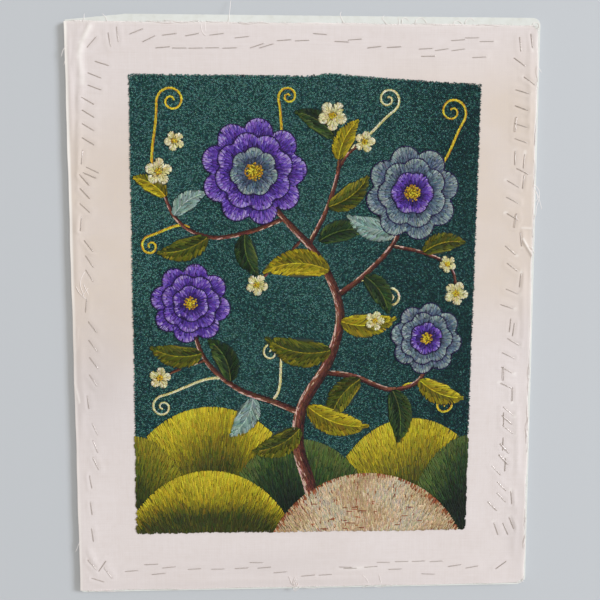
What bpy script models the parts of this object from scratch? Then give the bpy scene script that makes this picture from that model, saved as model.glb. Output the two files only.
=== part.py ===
"""A stitched picture on white cotton cloth, stapled face up to a white 16 x 20 inch board.

The panel lies on its back: its face looks up (+Z) and the picture's top is towards +Y.
The origin is under the middle of the panel. Sizes below are in millimetres.
"""

import math
import random

import bmesh
import bpy
from mathutils.bvhtree import BVHTree

MM = 0.001

# Board
BOARD_WIDTH = 406.4
BOARD_HEIGHT = 508.0
BOARD_THICK = 5.0
# Each corner is worn or cut: how far it reaches along the side's x and y, and its straight steps.
BOARD_CORNERS = (
    # right, top, along_x, along_y, steps
    (True, False, 7.0, 4.6, 1),
    (True, True, 7.0, 6.0, 4),
    (False, True, 50.5, 5.2, 1),
    (False, False, 3.0, 2.0, 2),
)

# Cloth: where its cut edges lie, measured in from the board's edges
CLOTH_THICK = 1.0
CLEARANCE = 0.3
CLOTH_TOP_INSET = 7.1
CLOTH_BOTTOM_INSET = 1.9
CLOTH_RIGHT_INSET = 2.6
CLOTH_WRAP_LOWEST = 2.0
EDGE_WAVE = 0.5
CLOTH_BAND_STEPS = (0.0, 3.0, 6.0, 9.0, 12.0, 15.0, 18.5, 23.0, 29.0, 38.0, 50.0)
CLOTH_MIDDLE_COLUMNS = 7
CLOTH_ROWS = 44

# The board and the cloth that wraps its left side are centred together.
WRAP_OUT = CLEARANCE + CLOTH_THICK
LEFT = -(BOARD_WIDTH - WRAP_OUT) / 2
RIGHT = LEFT + BOARD_WIDTH
TOP = BOARD_HEIGHT / 2
BOTTOM = -TOP
CLOTH_UNDER = BOARD_THICK + CLEARANCE

# Puckers and folds that stand up in the cloth's margin
CLOTH_RIDGES = (
    # x0, y0, x1, y1, height, half_width
    (-181.5, 245.0, -188.5, 217.0, 2.6, 3.2),
    (-188.5, 217.0, -192.5, 176.0, 1.7, 3.2),
    (-192.5, 176.0, -194.5, 108.0, 1.2, 3.0),
    (-199.0, 236.0, -199.0, 150.0, 0.9, 3.0),
    (-197.0, 90.0, -197.5, 20.0, 0.8, 3.2),
    (-196.0, -20.0, -197.0, -110.0, 0.6, 3.4),
    (-195.0, -212.0, -186.0, -238.0, 1.1, 3.2),
    (190.0, 66.0, 200.5, 50.0, 2.2, 2.6),
    (195.5, 232.0, 196.0, 150.0, 0.9, 2.6),
    (194.0, 40.0, 195.5, -30.0, 0.8, 2.8),
    (192.0, -86.0, 193.5, -150.0, 1.0, 3.0),
    (194.0, -176.0, 192.0, -226.0, 0.8, 3.0),
    (-96.0, 243.0, -30.0, 243.5, 0.6, 2.6),
    (60.0, 241.0, 150.0, 242.5, 0.7, 2.8),
    (-60.0, -244.0, 40.0, -245.5, 0.7, 3.0),
)

# Stitched field: its corners, and how far its top edge strays from a straight line
FIELD_THICK = 1.2
FIELD_SHOULDER = 0.5
FIELD_SHOULDER_INSET = 0.7
FIELD_PITCH = 6.5
FIELD_WAVE = 0.35
FIELD_CORNERS = (
    # x, y, anticlockwise from the lower left
    (-151.5, -199.7),
    (146.4, -200.6),
    (153.6, 197.6),
    (-150.4, 204.4),
)
FIELD_TOP_STRAY = (
    # share of the way from right to left, stray
    (0.0, 0.0),
    (0.28, 2.8),
    (0.44, 5.5),
    (0.50, 2.8),
    (1.0, 0.0),
)

# Wire staples
STAPLE_CROWN = 12.7
STAPLE_WIRE = 0.5
STAPLE_LEG = 5.5
LEG_HOLE_FLOOR = 0.8
STAPLE_JITTER = 0.6
SLANT_JITTER = 3.0
STAPLE_SEED = 16
# Three of every seven staples are solids here, and those stand this clear of each other.
SOLID_CYCLE = 7
SOLID_TURNS = (0, 2, 4)
SOLID_CLEAR = 2.5
STAPLE_RUNS = (
    # side, first, last, count, inset, stagger, slant
    ("top", -180, -180, 1, 24.0, 0.0, 49),
    ("top", -165, -158, 2, 19.5, -2.5, -81),
    ("top", -142, -132, 2, 18.0, 3.0, 24),
    ("top", -121, -64, 5, 28.0, 0.0, 3),
    ("top", -115, -75, 3, 16.5, 0.0, 9),
    ("top", -53, -53, 1, 19.0, 0.0, 7),
    ("top", -40, -32, 2, 25.5, 0.0, 17),
    ("top", -18, -2, 2, 21.0, 0.0, 3),
    ("top", 14, 32, 2, 19.0, 3.0, -2),
    ("top", 43, 43, 1, 20.0, 0.0, 6),
    ("top", 60, 77, 2, 25.5, 0.0, 5),
    ("top", 105, 133, 3, 27.5, 0.0, 6),
    ("top", 132, 157, 3, 19.0, -1.0, 4),
    ("top", 107, 151, 2, 33.5, 0.0, 4),
    ("right", 232, 234, 2, 12.5, -5.5, -82),
    ("right", 217, 201, 2, 13.5, -4.5, -34),
    ("right", 191, 149, 4, 15.0, 0.0, -18),
    ("right", 164, 135, 2, 20.0, 0.0, -93),
    ("right", 132, 114, 2, 11.5, 0.0, -96),
    ("right", 123, 123, 1, 13.0, 0.0, -27),
    ("right", 112, 84, 3, 20.5, 0.0, -28),
    ("right", 80, 80, 1, 18.0, 0.0, -97),
    ("right", 64, 64, 1, 12.5, 0.0, -84),
    ("right", 54, 39, 2, 21.0, -1.0, -39),
    ("right", 28, 28, 1, 12.0, 0.0, -93),
    ("right", 17, 4, 2, 21.0, 2.0, -20),
    ("right", -13, -17, 2, 18.5, -1.5, -98),
    ("right", -28, -28, 1, 17.0, 0.0, -29),
    ("right", -40, -67, 3, 21.5, 0.0, -26),
    ("right", -57, -75, 2, 21.0, -4.0, -92),
    ("right", -98, -121, 2, 24.5, 0.0, -92),
    ("right", -140, -140, 1, 22.0, 0.0, -90),
    ("right", -90, -108, 3, 20.5, 0.0, -41),
    ("right", -125, -135, 2, 23.0, 0.0, -47),
    ("right", -145, -145, 1, 30.0, 0.0, -45),
    ("right", -161, -171, 2, 24.5, 0.0, -48),
    ("right", -179, -179, 1, 33.0, 0.0, -49),
    ("right", -171, -171, 1, 15.0, 0.0, -84),
    ("right", -201, -200, 2, 24.5, -4.5, -68),
    ("right", -195, -195, 1, 14.0, 0.0, -66),
    ("left", 212, 212, 1, 31.0, 0.0, -19),
    ("left", 203, 192, 2, 24.0, 0.0, -22),
    ("left", 182, 148, 4, 17.5, 0.0, -30),
    ("left", 134, 134, 1, 12.0, 0.0, -94),
    ("left", 123, 119, 2, 19.0, -1.0, -26),
    ("left", 115, 91, 3, 13.0, 0.0, -46),
    ("left", 77, 77, 1, 10.0, 0.0, -95),
    ("left", 58, 32, 3, 15.4, 0.0, -56),
    ("left", 7, 7, 1, 12.3, 0.0, -96),
    ("left", -13, -60, 4, 16.4, 0.0, -56),
    ("left", -79, -79, 1, 11.5, 0.0, -86),
    ("left", -103, -134, 3, 17.0, 0.0, -68),
    ("left", -151, -200, 3, 12.0, 0.0, -82),
    ("left", -228, -236, 2, 18.0, 7.0, -54),
    ("left", -229, -229, 1, 20.0, 0.0, 52),
    ("left", -243, -243, 1, 16.0, 0.0, -20),
    ("bottom", -157, -139, 2, 22.5, 3.5, 3),
    ("bottom", -133, -123, 2, 19.0, 3.0, 3),
    ("bottom", -100, -37, 4, 20.5, 0.0, 3),
    ("bottom", -44, -22, 2, 21.0, -5.0, 1),
    ("bottom", 3, 19, 2, 12.8, 0.0, 2),
    ("bottom", 37, 42, 2, 19.0, -1.0, -2),
    ("bottom", 60, 60, 1, 20.0, 0.0, 3),
    ("bottom", 72, 121, 4, 24.0, 0.0, 0),
    ("bottom", 83, 113, 2, 14.5, -2.5, -2),
    ("bottom", 138, 154, 2, 19.0, -1.0, 8),
    ("bottom", 181, 181, 1, 19.5, 0.0, 39),
)


def linear(channel):
    """An sRGB channel, 0 to 255, as linear light."""
    c = channel / 255
    return c / 12.92 if c <= 0.04045 else ((c + 0.055) / 1.055) ** 2.4


def material(name, rgb, roughness, metallic=0.0):
    made = bpy.data.materials.new(name)
    made.use_nodes = True
    shader = made.node_tree.nodes["Principled BSDF"]
    shader.inputs["Base Color"].default_value = (*(linear(c) for c in rgb), 1.0)
    shader.inputs["Roughness"].default_value = roughness
    shader.inputs["Metallic"].default_value = metallic
    return made


def add_object(name, points, faces, finish):
    """An object of these points, in millimetres, and faces."""
    mesh = bpy.data.meshes.new(name)
    mesh.from_pydata([(x * MM, y * MM, z * MM) for x, y, z in points], [], faces)
    mesh.update()
    mesh.materials.append(finish)
    made = bpy.data.objects.new(name, mesh)
    bpy.context.scene.collection.objects.link(made)
    return made


def face_out(thing):
    """Turns every face of a closed mesh outwards."""
    shape = bmesh.new()
    shape.from_mesh(thing.data)
    bmesh.ops.recalc_face_normals(shape, faces=shape.faces)
    shape.to_mesh(thing.data)
    shape.free()


def prism(loops):
    """Points and faces of a closed body that joins loops of equal length, from the lowest up."""
    size = len(loops[0])
    points = [point for loop in loops for point in loop]
    faces = [tuple(reversed(range(size)))]
    for level in range(len(loops) - 1):
        low, high = level * size, (level + 1) * size
        for i in range(size):
            j = (i + 1) % size
            faces.append((low + i, low + j, high + j, high + i))
    last = (len(loops) - 1) * size
    faces.append(tuple(range(last, last + size)))
    return points, faces


def wave(at, phase):
    """How a cut edge wanders, from about -1 to 1."""
    return 0.6 * math.sin(at / 17 + phase) + 0.4 * math.sin(at / 6.3 + 2.1 * phase)


def board_outline():
    """The board's outline, anticlockwise from the lower right corner."""
    outline = []
    for right, top, along_x, along_y, steps in BOARD_CORNERS:
        x = RIGHT if right else LEFT
        y = TOP if top else BOTTOM
        towards_x = -1 if right else 1
        towards_y = -1 if top else 1
        starts_on_x_side = right != top
        for step in range(steps + 1):
            turn = math.pi / 2 * step / steps
            if not starts_on_x_side:
                turn = math.pi / 2 - turn
            in_x = along_x * (1 - math.sin(turn))
            in_y = along_y * (1 - math.cos(turn))
            outline.append((x + towards_x * in_x, y + towards_y * in_y))
    return outline


def make_board():
    outline = board_outline()
    loops = [[(x, y, z) for x, y in outline] for z in (0.0, BOARD_THICK)]
    points, faces = prism(loops)
    board = add_object("backing_board", points, faces, material("white_board", (228, 229, 223), 0.8))
    face_out(board)
    return board


def ridge_height(x, y, ridge):
    """How far one ridge lifts the cloth at a place."""
    x0, y0, x1, y1, height, half_width = ridge
    length_x, length_y = x1 - x0, y1 - y0
    length = math.hypot(length_x, length_y)
    share = ((x - x0) * length_x + (y - y0) * length_y) / length**2
    beyond = max(0.0, -share, share - 1) * length
    share = min(1.0, max(0.0, share))
    across = math.hypot(x - x0 - share * length_x, y - y0 - share * length_y)
    fade = min(1.0, 0.35 + 4 * min(share, 1 - share))
    return height * fade * math.exp(-((across / half_width) ** 2) - (beyond / half_width) ** 2)


def cloth_rise(x, y):
    """The height of the cloth's underside over its flat lie on the board."""
    return max(ridge_height(x, y, ridge) for ridge in CLOTH_RIDGES)


def cloth_columns(y):
    """For one row, each column's x and z on the upper face and on the under face."""
    low = CLOTH_WRAP_LOWEST + 0.5 * wave(y, 0.7)
    slope = math.sqrt(0.5)
    bend_out = (LEFT - WRAP_OUT * slope, BOARD_THICK + WRAP_OUT * slope)
    bend_in = (LEFT - CLEARANCE * slope, BOARD_THICK + CLEARANCE * slope)
    columns = [
        ((LEFT - WRAP_OUT, low), (LEFT - CLEARANCE, low)),
        ((LEFT - WRAP_OUT, BOARD_THICK), (LEFT - CLEARANCE, BOARD_THICK)),
        (bend_out, bend_in),
    ]
    right_edge = RIGHT - CLOTH_RIGHT_INSET + EDGE_WAVE * wave(y, 2.3)
    inner_left = LEFT + CLOTH_BAND_STEPS[-1]
    inner_right = RIGHT - CLOTH_RIGHT_INSET - CLOTH_BAND_STEPS[-1]
    places = [LEFT + step for step in CLOTH_BAND_STEPS]
    for i in range(1, CLOTH_MIDDLE_COLUMNS):
        places.append(inner_left + (inner_right - inner_left) * i / CLOTH_MIDDLE_COLUMNS)
    places += [right_edge - step for step in reversed(CLOTH_BAND_STEPS)]
    for i, x in enumerate(places):
        under = CLOTH_UNDER + (cloth_rise(x, y) if i else 0.0)
        columns.append(((x, under + CLOTH_THICK), (x, under)))
    return columns


def make_cloth():
    """One sheet: flat in the middle, puckered in its margin, turned down over the board's left side."""
    upper, under = [], []
    wide = 0
    for row in range(CLOTH_ROWS + 1):
        share = row / CLOTH_ROWS
        middle_y = BOTTOM + CLOTH_BOTTOM_INSET
        middle_y += share * (BOARD_HEIGHT - CLOTH_BOTTOM_INSET - CLOTH_TOP_INSET)
        columns = cloth_columns(middle_y)
        wide = len(columns)
        for (x_up, z_up), (x_in, z_in) in columns:
            stray = EDGE_WAVE * (share * wave(x_up, 0.4) + (1 - share) * wave(x_up, 3.9))
            upper.append((x_up, middle_y + stray, z_up))
            under.append((x_in, middle_y + stray, z_in))
    count = len(upper)
    faces = []
    for row in range(CLOTH_ROWS):
        for column in range(wide - 1):
            a = row * wide + column
            b, c, d = a + 1, a + wide + 1, a + wide
            faces.append((a, b, c, d))
            faces.append((count + d, count + c, count + b, count + a))
    rim = list(range(wide))
    rim += [row * wide + wide - 1 for row in range(1, CLOTH_ROWS + 1)]
    rim += [CLOTH_ROWS * wide + column for column in range(wide - 2, -1, -1)]
    rim += [row * wide for row in range(CLOTH_ROWS - 1, 0, -1)]
    for i, a in enumerate(rim):
        b = rim[(i + 1) % len(rim)]
        faces.append((b, a, count + a, count + b))
    finish = material("white_cotton", (224, 215, 212), 0.9)
    cloth = add_object("ground_cloth", upper + under, faces, finish)
    face_out(cloth)
    return cloth


def field_outline(inset):
    """The stitched field's uneven outline, drawn in by an inset."""
    outline = []
    for side, (x0, y0) in enumerate(FIELD_CORNERS):
        x1, y1 = FIELD_CORNERS[(side + 1) % len(FIELD_CORNERS)]
        length = math.hypot(x1 - x0, y1 - y0)
        out_x, out_y = (y1 - y0) / length, -(x1 - x0) / length
        steps = round(length / FIELD_PITCH)
        for step in range(steps):
            share = step / steps
            stray = FIELD_WAVE * wave(share * length, side + 0.5) if step else 0.0
            if side == 2:
                stray += top_stray(share)
            stray -= inset
            slip = inset if step == 0 else 0.0
            x = x0 + share * (x1 - x0) + stray * out_x - slip * out_y
            y = y0 + share * (y1 - y0) + stray * out_y + slip * out_x
            outline.append((x, y))
    return outline


def top_stray(share):
    """How far the field's top edge stands out at a share of its length."""
    for (start, low), (end, high) in zip(FIELD_TOP_STRAY, FIELD_TOP_STRAY[1:]):
        if share <= end:
            return low + (high - low) * (share - start) / (end - start)
    return 0.0


def make_field():
    """The thickness of yarn that stands on the cloth, with a softly rounded shoulder."""
    bottom = CLOTH_UNDER + CLOTH_THICK + CLEARANCE
    levels = (
        (bottom, 0.0),
        (bottom + FIELD_THICK - FIELD_SHOULDER, 0.0),
        (bottom + FIELD_THICK, FIELD_SHOULDER_INSET),
    )
    loops = [[(x, y, z) for x, y in field_outline(inset)] for z, inset in levels]
    points, faces = prism(loops)
    finish = material("stitched_yarn", (52, 82, 76), 0.9)
    field = add_object("stitched_field", points, faces, finish)
    face_out(field)
    return field


def staple_places():
    """The middle and the slant, in radians, of every staple along the four sides."""
    draw = random.Random(STAPLE_SEED)
    places = []
    for side, first, last, count, inset, stagger, slant in STAPLE_RUNS:
        for i in range(count):
            share = i / (count - 1) if count > 1 else 0.0
            along = first + share * (last - first) + draw.uniform(-1, 1) * STAPLE_JITTER
            depth = inset + (stagger if i % 2 else -stagger) + draw.uniform(-1, 1) * STAPLE_JITTER
            turn = math.radians(slant + draw.uniform(-1, 1) * SLANT_JITTER)
            x, y = {
                "top": (along, TOP - depth),
                "bottom": (along, BOTTOM + depth),
                "left": (LEFT + depth, along),
                "right": (RIGHT - depth, along),
            }[side]
            places.append((x, y, turn))
    return places


def crown_points(place, reach=STAPLE_CROWN / 2):
    """Seven places spread along a staple's crown."""
    x, y, turn = place
    shares = [i / 3 - 1 for i in range(7)]
    return [(x + s * reach * math.cos(turn), y + s * reach * math.sin(turn)) for s in shares]


def solid_places():
    """The staples that are solids: spread along the sides and clear of each other."""
    kept = []
    for i, place in enumerate(staple_places()):
        here = crown_points(place)
        near = [math.dist(a, b) for other in kept for a in here for b in crown_points(other)]
        if i % SOLID_CYCLE in SOLID_TURNS and min(near, default=SOLID_CLEAR) >= SOLID_CLEAR:
            kept.append(place)
    return kept


def make_staples(places, cloth):
    """U shaped wires: the crown lies on the cloth, and both legs go down into the board."""
    finish = material("staple_wire", (176, 170, 166), 0.35, 1.0)
    surface = BVHTree.FromObject(cloth, bpy.context.evaluated_depsgraph_get())
    half, inner, thick = STAPLE_CROWN / 2, STAPLE_CROWN / 2 - STAPLE_WIRE, STAPLE_WIRE / 2
    profile = (
        (-half, -STAPLE_LEG),
        (-inner, -STAPLE_LEG),
        (-inner, 0.0),
        (inner, 0.0),
        (inner, -STAPLE_LEG),
        (half, -STAPLE_LEG),
        (half, STAPLE_WIRE),
        (-half, STAPLE_WIRE),
    )
    for number, place in enumerate(places, 1):
        x, y, turn = place
        hits = [surface.ray_cast((px * MM, py * MM, 1.0), (0, 0, -1)) for px, py in crown_points(place)]
        seat = max(hit[0].z for hit in hits) / MM + CLEARANCE
        sides = (-thick, thick)
        loops = [[(a, side, b) for a, b in profile] for side in sides]
        points, faces = prism(loops)
        staple = add_object(f"staple_{number:02d}", points, faces, finish)
        staple.location = (x * MM, y * MM, seat * MM)
        staple.rotation_euler = (0, 0, turn)
        face_out(staple)


def make_leg_cutter(places):
    """Square holes, a little wider than the wire, where the legs pass through cloth and board."""
    wide = STAPLE_WIRE / 2 + CLEARANCE
    above = BOARD_THICK + 12
    points, faces = [], []
    for x, y, turn in places:
        for end in (-1, 1):
            reach = end * (STAPLE_CROWN - STAPLE_WIRE) / 2
            middle = (x + reach * math.cos(turn), y + reach * math.sin(turn))
            loops = []
            for z in (LEG_HOLE_FLOOR, above):
                quarter = [turn + math.pi / 4 + math.pi / 2 * k for k in range(4)]
                span = wide * math.sqrt(2)
                loops.append(
                    [
                        (middle[0] + span * math.cos(q), middle[1] + span * math.sin(q), z)
                        for q in quarter
                    ]
                )
            new_points, new_faces = prism(loops)
            faces += [tuple(len(points) + i for i in face) for face in new_faces]
            points += new_points
    cutter = add_object("leg_cutter", points, faces, material("cutter", (128, 128, 128), 0.5))
    cutter.hide_render = True
    cutter.display_type = "WIRE"
    return cutter


def cut(thing, cutter):
    holes = thing.modifiers.new("leg_holes", "BOOLEAN")
    holes.operation = "DIFFERENCE"
    holes.object = cutter
    holes.solver = "EXACT"


for old in list(bpy.data.objects):
    bpy.data.objects.remove(old, do_unlink=True)

board = make_board()
cloth = make_cloth()
make_field()
solids = solid_places()
make_staples(solids, cloth)
leg_cutter = make_leg_cutter(solids)
cut(board, leg_cutter)
cut(cloth, leg_cutter)
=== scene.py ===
"""A stitched picture on white cotton, stapled face up to a white board that lies on its back.

The frame is in metres with +Z up, and the picture's top is towards +Y. The tables below are in
millimetres in the same frame, and their colours are sRGB from 0 to 255.
"""

import math
import random

import bpy
import numpy as np
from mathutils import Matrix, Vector


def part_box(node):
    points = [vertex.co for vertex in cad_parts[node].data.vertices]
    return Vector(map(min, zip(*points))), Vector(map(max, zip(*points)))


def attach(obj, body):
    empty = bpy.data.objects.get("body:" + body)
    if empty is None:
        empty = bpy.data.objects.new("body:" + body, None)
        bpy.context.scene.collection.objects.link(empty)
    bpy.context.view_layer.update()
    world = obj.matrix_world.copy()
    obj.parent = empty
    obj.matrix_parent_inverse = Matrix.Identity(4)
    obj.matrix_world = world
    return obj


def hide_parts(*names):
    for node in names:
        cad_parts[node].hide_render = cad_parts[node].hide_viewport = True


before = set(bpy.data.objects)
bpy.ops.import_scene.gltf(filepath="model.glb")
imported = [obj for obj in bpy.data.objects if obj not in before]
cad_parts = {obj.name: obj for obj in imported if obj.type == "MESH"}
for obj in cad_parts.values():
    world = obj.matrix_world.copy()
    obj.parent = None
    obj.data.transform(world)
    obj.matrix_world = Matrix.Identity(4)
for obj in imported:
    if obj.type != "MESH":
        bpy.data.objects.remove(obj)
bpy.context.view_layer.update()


# --- Camera, light and floor ---
# The panel lies on a plain pale floor. The camera looks straight down but for a few degrees, from
# a little past the middle towards the picture's top. A wide soft light comes from the right.

MM = 0.001
CAMERA_LENS = 40
CAMERA_PLACE = (-23.9, 59.1, 590.7)
CAMERA_TURN = (-4.73, -1.93, -0.07)
HALF_FLOOR = 8000
FLOOR_DROP = 0.3
FLOOR_COLOUR = (199, 202, 205)
LIGHTS = (
    # name, place, size, watts, colour
    ("window", (6000, 1760, 4150), 2300, 408, (0.86, 0.91, 1)),
    ("ceiling", (-200, 300, 1700), 1600, 2.1, (1, 0.98, 0.94)),
)
ROOM_LIGHT = {"Color": (1, 0.98, 0.94, 1), "Strength": 0.58}


def linear(rgb):
    """sRGB channels from 0 to 255 as linear light, for one colour or an array of them."""
    c = np.asarray(rgb, float) / 255
    return np.where(c <= 0.04045, c / 12.92, ((c + 0.055) / 1.055) ** 2.4)


def rgba(rgb):
    return (*(float(c) for c in linear(rgb)), 1)


def feed(node, inputs):
    """Sets a node's inputs to plain values or links them to other sockets. Returns the node."""
    for name, value in inputs.items():
        if isinstance(value, bpy.types.NodeSocket):
            node.id_data.links.new(value, node.inputs[name])
        else:
            node.inputs[name].default_value = value
    return node


def new_material(name, rgb, roughness, metallic=0):
    """A material and its Principled shader."""
    made = bpy.data.materials.new(name)
    made.use_nodes = True
    shader = made.node_tree.nodes["Principled BSDF"]
    return made, feed(shader, {"Base Color": rgba(rgb), "Roughness": roughness, "Metallic": metallic})


def new_mesh(name, points, faces):
    """A mesh of flat faces, from points in millimetres."""
    made = bpy.data.meshes.new(name)
    made.from_pydata([tuple(point) for point in np.array(points) * MM], [], faces)
    return made


def add_object(name, data, *finishes):
    """Puts a new object in the scene, with its materials."""
    made = bpy.data.objects.new(name, data)
    bpy.context.scene.collection.objects.link(made)
    for finish in finishes:
        data.materials.append(finish)
    return made


bpy.context.scene.view_settings.view_transform = "Standard"

camera_data = bpy.data.cameras.new("camera")
camera_data.lens = CAMERA_LENS
camera_data.sensor_width = 36
camera_data.clip_start = 0.01
camera = add_object("camera", camera_data)
camera.location = Vector(CAMERA_PLACE) * MM
camera.rotation_euler = [math.radians(turn) for turn in CAMERA_TURN]
bpy.context.scene.camera = camera

for name, place, size, watts, colour in LIGHTS:
    light_data = bpy.data.lights.new(name, "AREA")
    light_data.size = size * MM
    light_data.energy = watts
    light_data.color = colour
    light = add_object(name, light_data)
    light.location = Vector(place) * MM
    light.rotation_euler = (-light.location).to_track_quat("-Z", "Y").to_euler()

room = bpy.data.worlds.new("room")
room.use_nodes = True
feed(room.node_tree.nodes["Background"], ROOM_LIGHT)
bpy.context.scene.world = room

quarters = ((-1, -1), (1, -1), (1, 1), (-1, 1))
corners = [(x * HALF_FLOOR, y * HALF_FLOOR, -FLOOR_DROP) for x, y in quarters]
floor_paint, _ = new_material("floor_paint", FLOOR_COLOUR, 0.9)
floor = add_object("floor", new_mesh("floor", corners, [(0, 1, 2, 3)]), floor_paint)


# --- Backing board ---
# A 16 x 20 inch board with a light foam core between two white paper facings. Its edges are knife
# cut, its upper left corner is worn down to a slope, and small knocks dent the paper's rim.

BOARD_CORNERS = (
    # right, top, along_x, along_y, steps
    (True, False, 7, 4.6, 1),
    (True, True, 7, 6, 4),
    (False, True, 50.5, 5.2, 1),
    (False, False, 3, 2, 2),
)
BOARD_LAYERS = (
    # height over the back, inset, dent, is the face above it foam
    (0, 0.28, 0.3, False),
    (0.1, 0.08, 0.6, False),
    (0.45, 0, 1, True),
    (0.52, 0.22, 0.8, True),
    (2.5, 0.3, 0.6, True),
    (4.48, 0.22, 0.8, False),
    (4.55, 0, 1, False),
    (4.9, 0.08, 0.6, False),
    (5, 0.28, 0.3, False),
)
BOARD_STEP = 1.6
DENT_DEPTH = 0.28
FOAM_PIT = 0.16
WORN_CORNER = (54, 6, 0.35)  # how far it reaches in x and in y, and its wear
PAPER_COLOUR = (233, 235, 230)
PAPER_SOILED = (214, 214, 205)
FOAM_COLOUR = (236, 237, 233)
FOAM_SHADE = (214, 213, 203)

board_low, board_high = (Vector(corner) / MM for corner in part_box("backing_board"))
LEFT, RIGHT = board_low.x, board_high.x
BOTTOM, TOP = board_low.y, board_high.y
BOARD_TOP = board_high.z


def board_outline():
    """The board's outline, anticlockwise from the lower right corner."""
    outline = []
    for right, top, along_x, along_y, steps in BOARD_CORNERS:
        for step in range(steps + 1):
            turn = math.pi / 2 * step / steps
            if right == top:
                turn = math.pi / 2 - turn
            in_x = along_x * (1 - math.sin(turn))
            in_y = along_y * (1 - math.cos(turn))
            x = RIGHT - in_x if right else LEFT + in_x
            y = TOP - in_y if top else BOTTOM + in_y
            outline.append((x, y))
    return np.array(outline)


def walk(points, step, closed=False):
    """Places spread evenly along a line of straight runs."""
    line = np.vstack([points, points[:1]]) if closed else points
    run = np.concatenate([[0], np.cumsum(np.hypot(*np.diff(line, axis=0).T))])
    count = max(2, round(run[-1] / step))
    at = np.arange(count) * run[-1] / count if closed else np.linspace(0, run[-1], count)
    return np.column_stack([np.interp(at, run, line[:, i]) for i in range(line.shape[1])])


def directions(ways):
    """These ways at unit length."""
    return ways / np.hypot(*ways.T)[:, None]


def aside(ways):
    """The ways turned a quarter to the left."""
    return np.column_stack([-ways[:, 1], ways[:, 0]])


def add_group(name, inputs, outputs):
    """A shader node group of number inputs, or a place where the value is None, and number outputs.

    Returns the group, what comes in and its output node.
    """
    group = bpy.data.node_groups.new(name, "ShaderNodeTree")
    for socket, value in inputs.items():
        kind = "NodeSocketVector" if value is None else "NodeSocketFloat"
        made = group.interface.new_socket(socket, in_out="INPUT", socket_type=kind)
        if value is not None:
            made.default_value = value
    for socket in outputs:
        group.interface.new_socket(socket, in_out="OUTPUT", socket_type="NodeSocketFloat")
    return group, group.nodes.new("NodeGroupInput").outputs, group.nodes.new("NodeGroupOutput")


def add_node(near, kind, inputs, **settings):
    """Adds a shader node beside a node or a socket. Returns its outputs."""
    node = near.id_data.nodes.new("ShaderNode" + kind)
    for name, value in settings.items():
        setattr(node, name, value)
    return feed(node, inputs).outputs


def combine(first, operation, second=0):
    """Arithmetic on sockets or numbers. Returns its output."""
    near = second if isinstance(first, float) else first
    return add_node(near, "Math", {0: first, 1: second}, operation=operation)[0]


def noise_at(where, scale, detail, stretch=(1, 1, 1)):
    """Noise over a place in millimetres, from 0 to 1."""
    stretched = add_node(where, "VectorMath", {0: where, 1: stretch}, operation="MULTIPLY")[0]
    return add_node(where, "TexNoise", {"Vector": stretched, "Scale": scale, "Detail": detail})["Fac"]


def place_in_mm(shader):
    """The shaded point's place in millimetres, which stays with the piece when it moves."""
    where = add_node(shader, "TexCoord", {})["Object"]
    return add_node(shader, "VectorMath", {0: where, "Scale": 1 / MM}, operation="SCALE")[0]


def tint(colour_a, colour_b, share):
    """Mixes two colours, each a socket or sRGB, by a share. Returns the mix."""
    ends = [c if isinstance(c, bpy.types.NodeSocket) else rgba(c) for c in (colour_a, colour_b)]
    return add_node(share, "Mix", {0: share, 6: ends[0], 7: ends[1]}, data_type="RGBA")[2]


def bump(shader, height, strength, distance):
    """Feeds a height, in millimetres when distance is 1, to the shader's normal."""
    inputs = {"Height": height, "Strength": strength, "Distance": distance * MM}
    feed(shader, {"Normal": add_node(shader, "Bump", inputs)["Normal"]})


# Faint soiling: broad soft clouds with a few sharper spots, from 0, clean, to 1.
soiling, given, made = add_group("soiling", {"Place": None, "Spot Size": 1}, ["Mask"])
cloud = noise_at(given["Place"], 0.018, 3)
spot = combine(noise_at(given["Place"], 0.16, 4), "MULTIPLY", given["Spot Size"])
both = combine(combine(cloud, "MULTIPLY", 0.8), "ADD", combine(spot, "POWER", 3))
feed(made, {"Mask": combine(both, "SUBTRACT", 0.18)})

outline = walk(board_outline(), BOARD_STEP, closed=True)
count = len(outline)
inward = aside(directions(np.roll(outline, -1, 0) - np.roll(outline, 1, 0)))
draw = np.random.default_rng(41)
knocks = draw.random(count) ** 6 * DENT_DEPTH
knocks = np.maximum(knocks, 0.6 * np.roll(knocks, 1)) + 0.05 * draw.random(count)
wear_and_highlight = (outline[:, 0] < LEFT + WORN_CORNER[0]) & (outline[:, 1] > TOP - WORN_CORNER[1])
knocks[wear_and_highlight] += WORN_CORNER[2] * draw.random(int(wear_and_highlight.sum()))
points = []
for z, inset, dent, _ in BOARD_LAYERS:
    pit = FOAM_PIT * draw.random(count) if 0.5 < z < 4.5 else 0
    ring = outline + inward * (inset + dent * knocks + pit)[:, None]
    points.append(np.column_stack([ring, np.full(count, z)]))
faces = [tuple(reversed(range(count)))]
paper_or_foam = [0]
for level, (*_, is_foam) in enumerate(BOARD_LAYERS[:-1]):
    low, high = level * count, (level + 1) * count
    for i in range(count):
        j = (i + 1) % count
        faces.append((low + i, low + j, high + j, high + i))
        paper_or_foam.append(int(is_foam))
faces.append(tuple(range(high, high + count)))
paper_or_foam.append(0)

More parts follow.
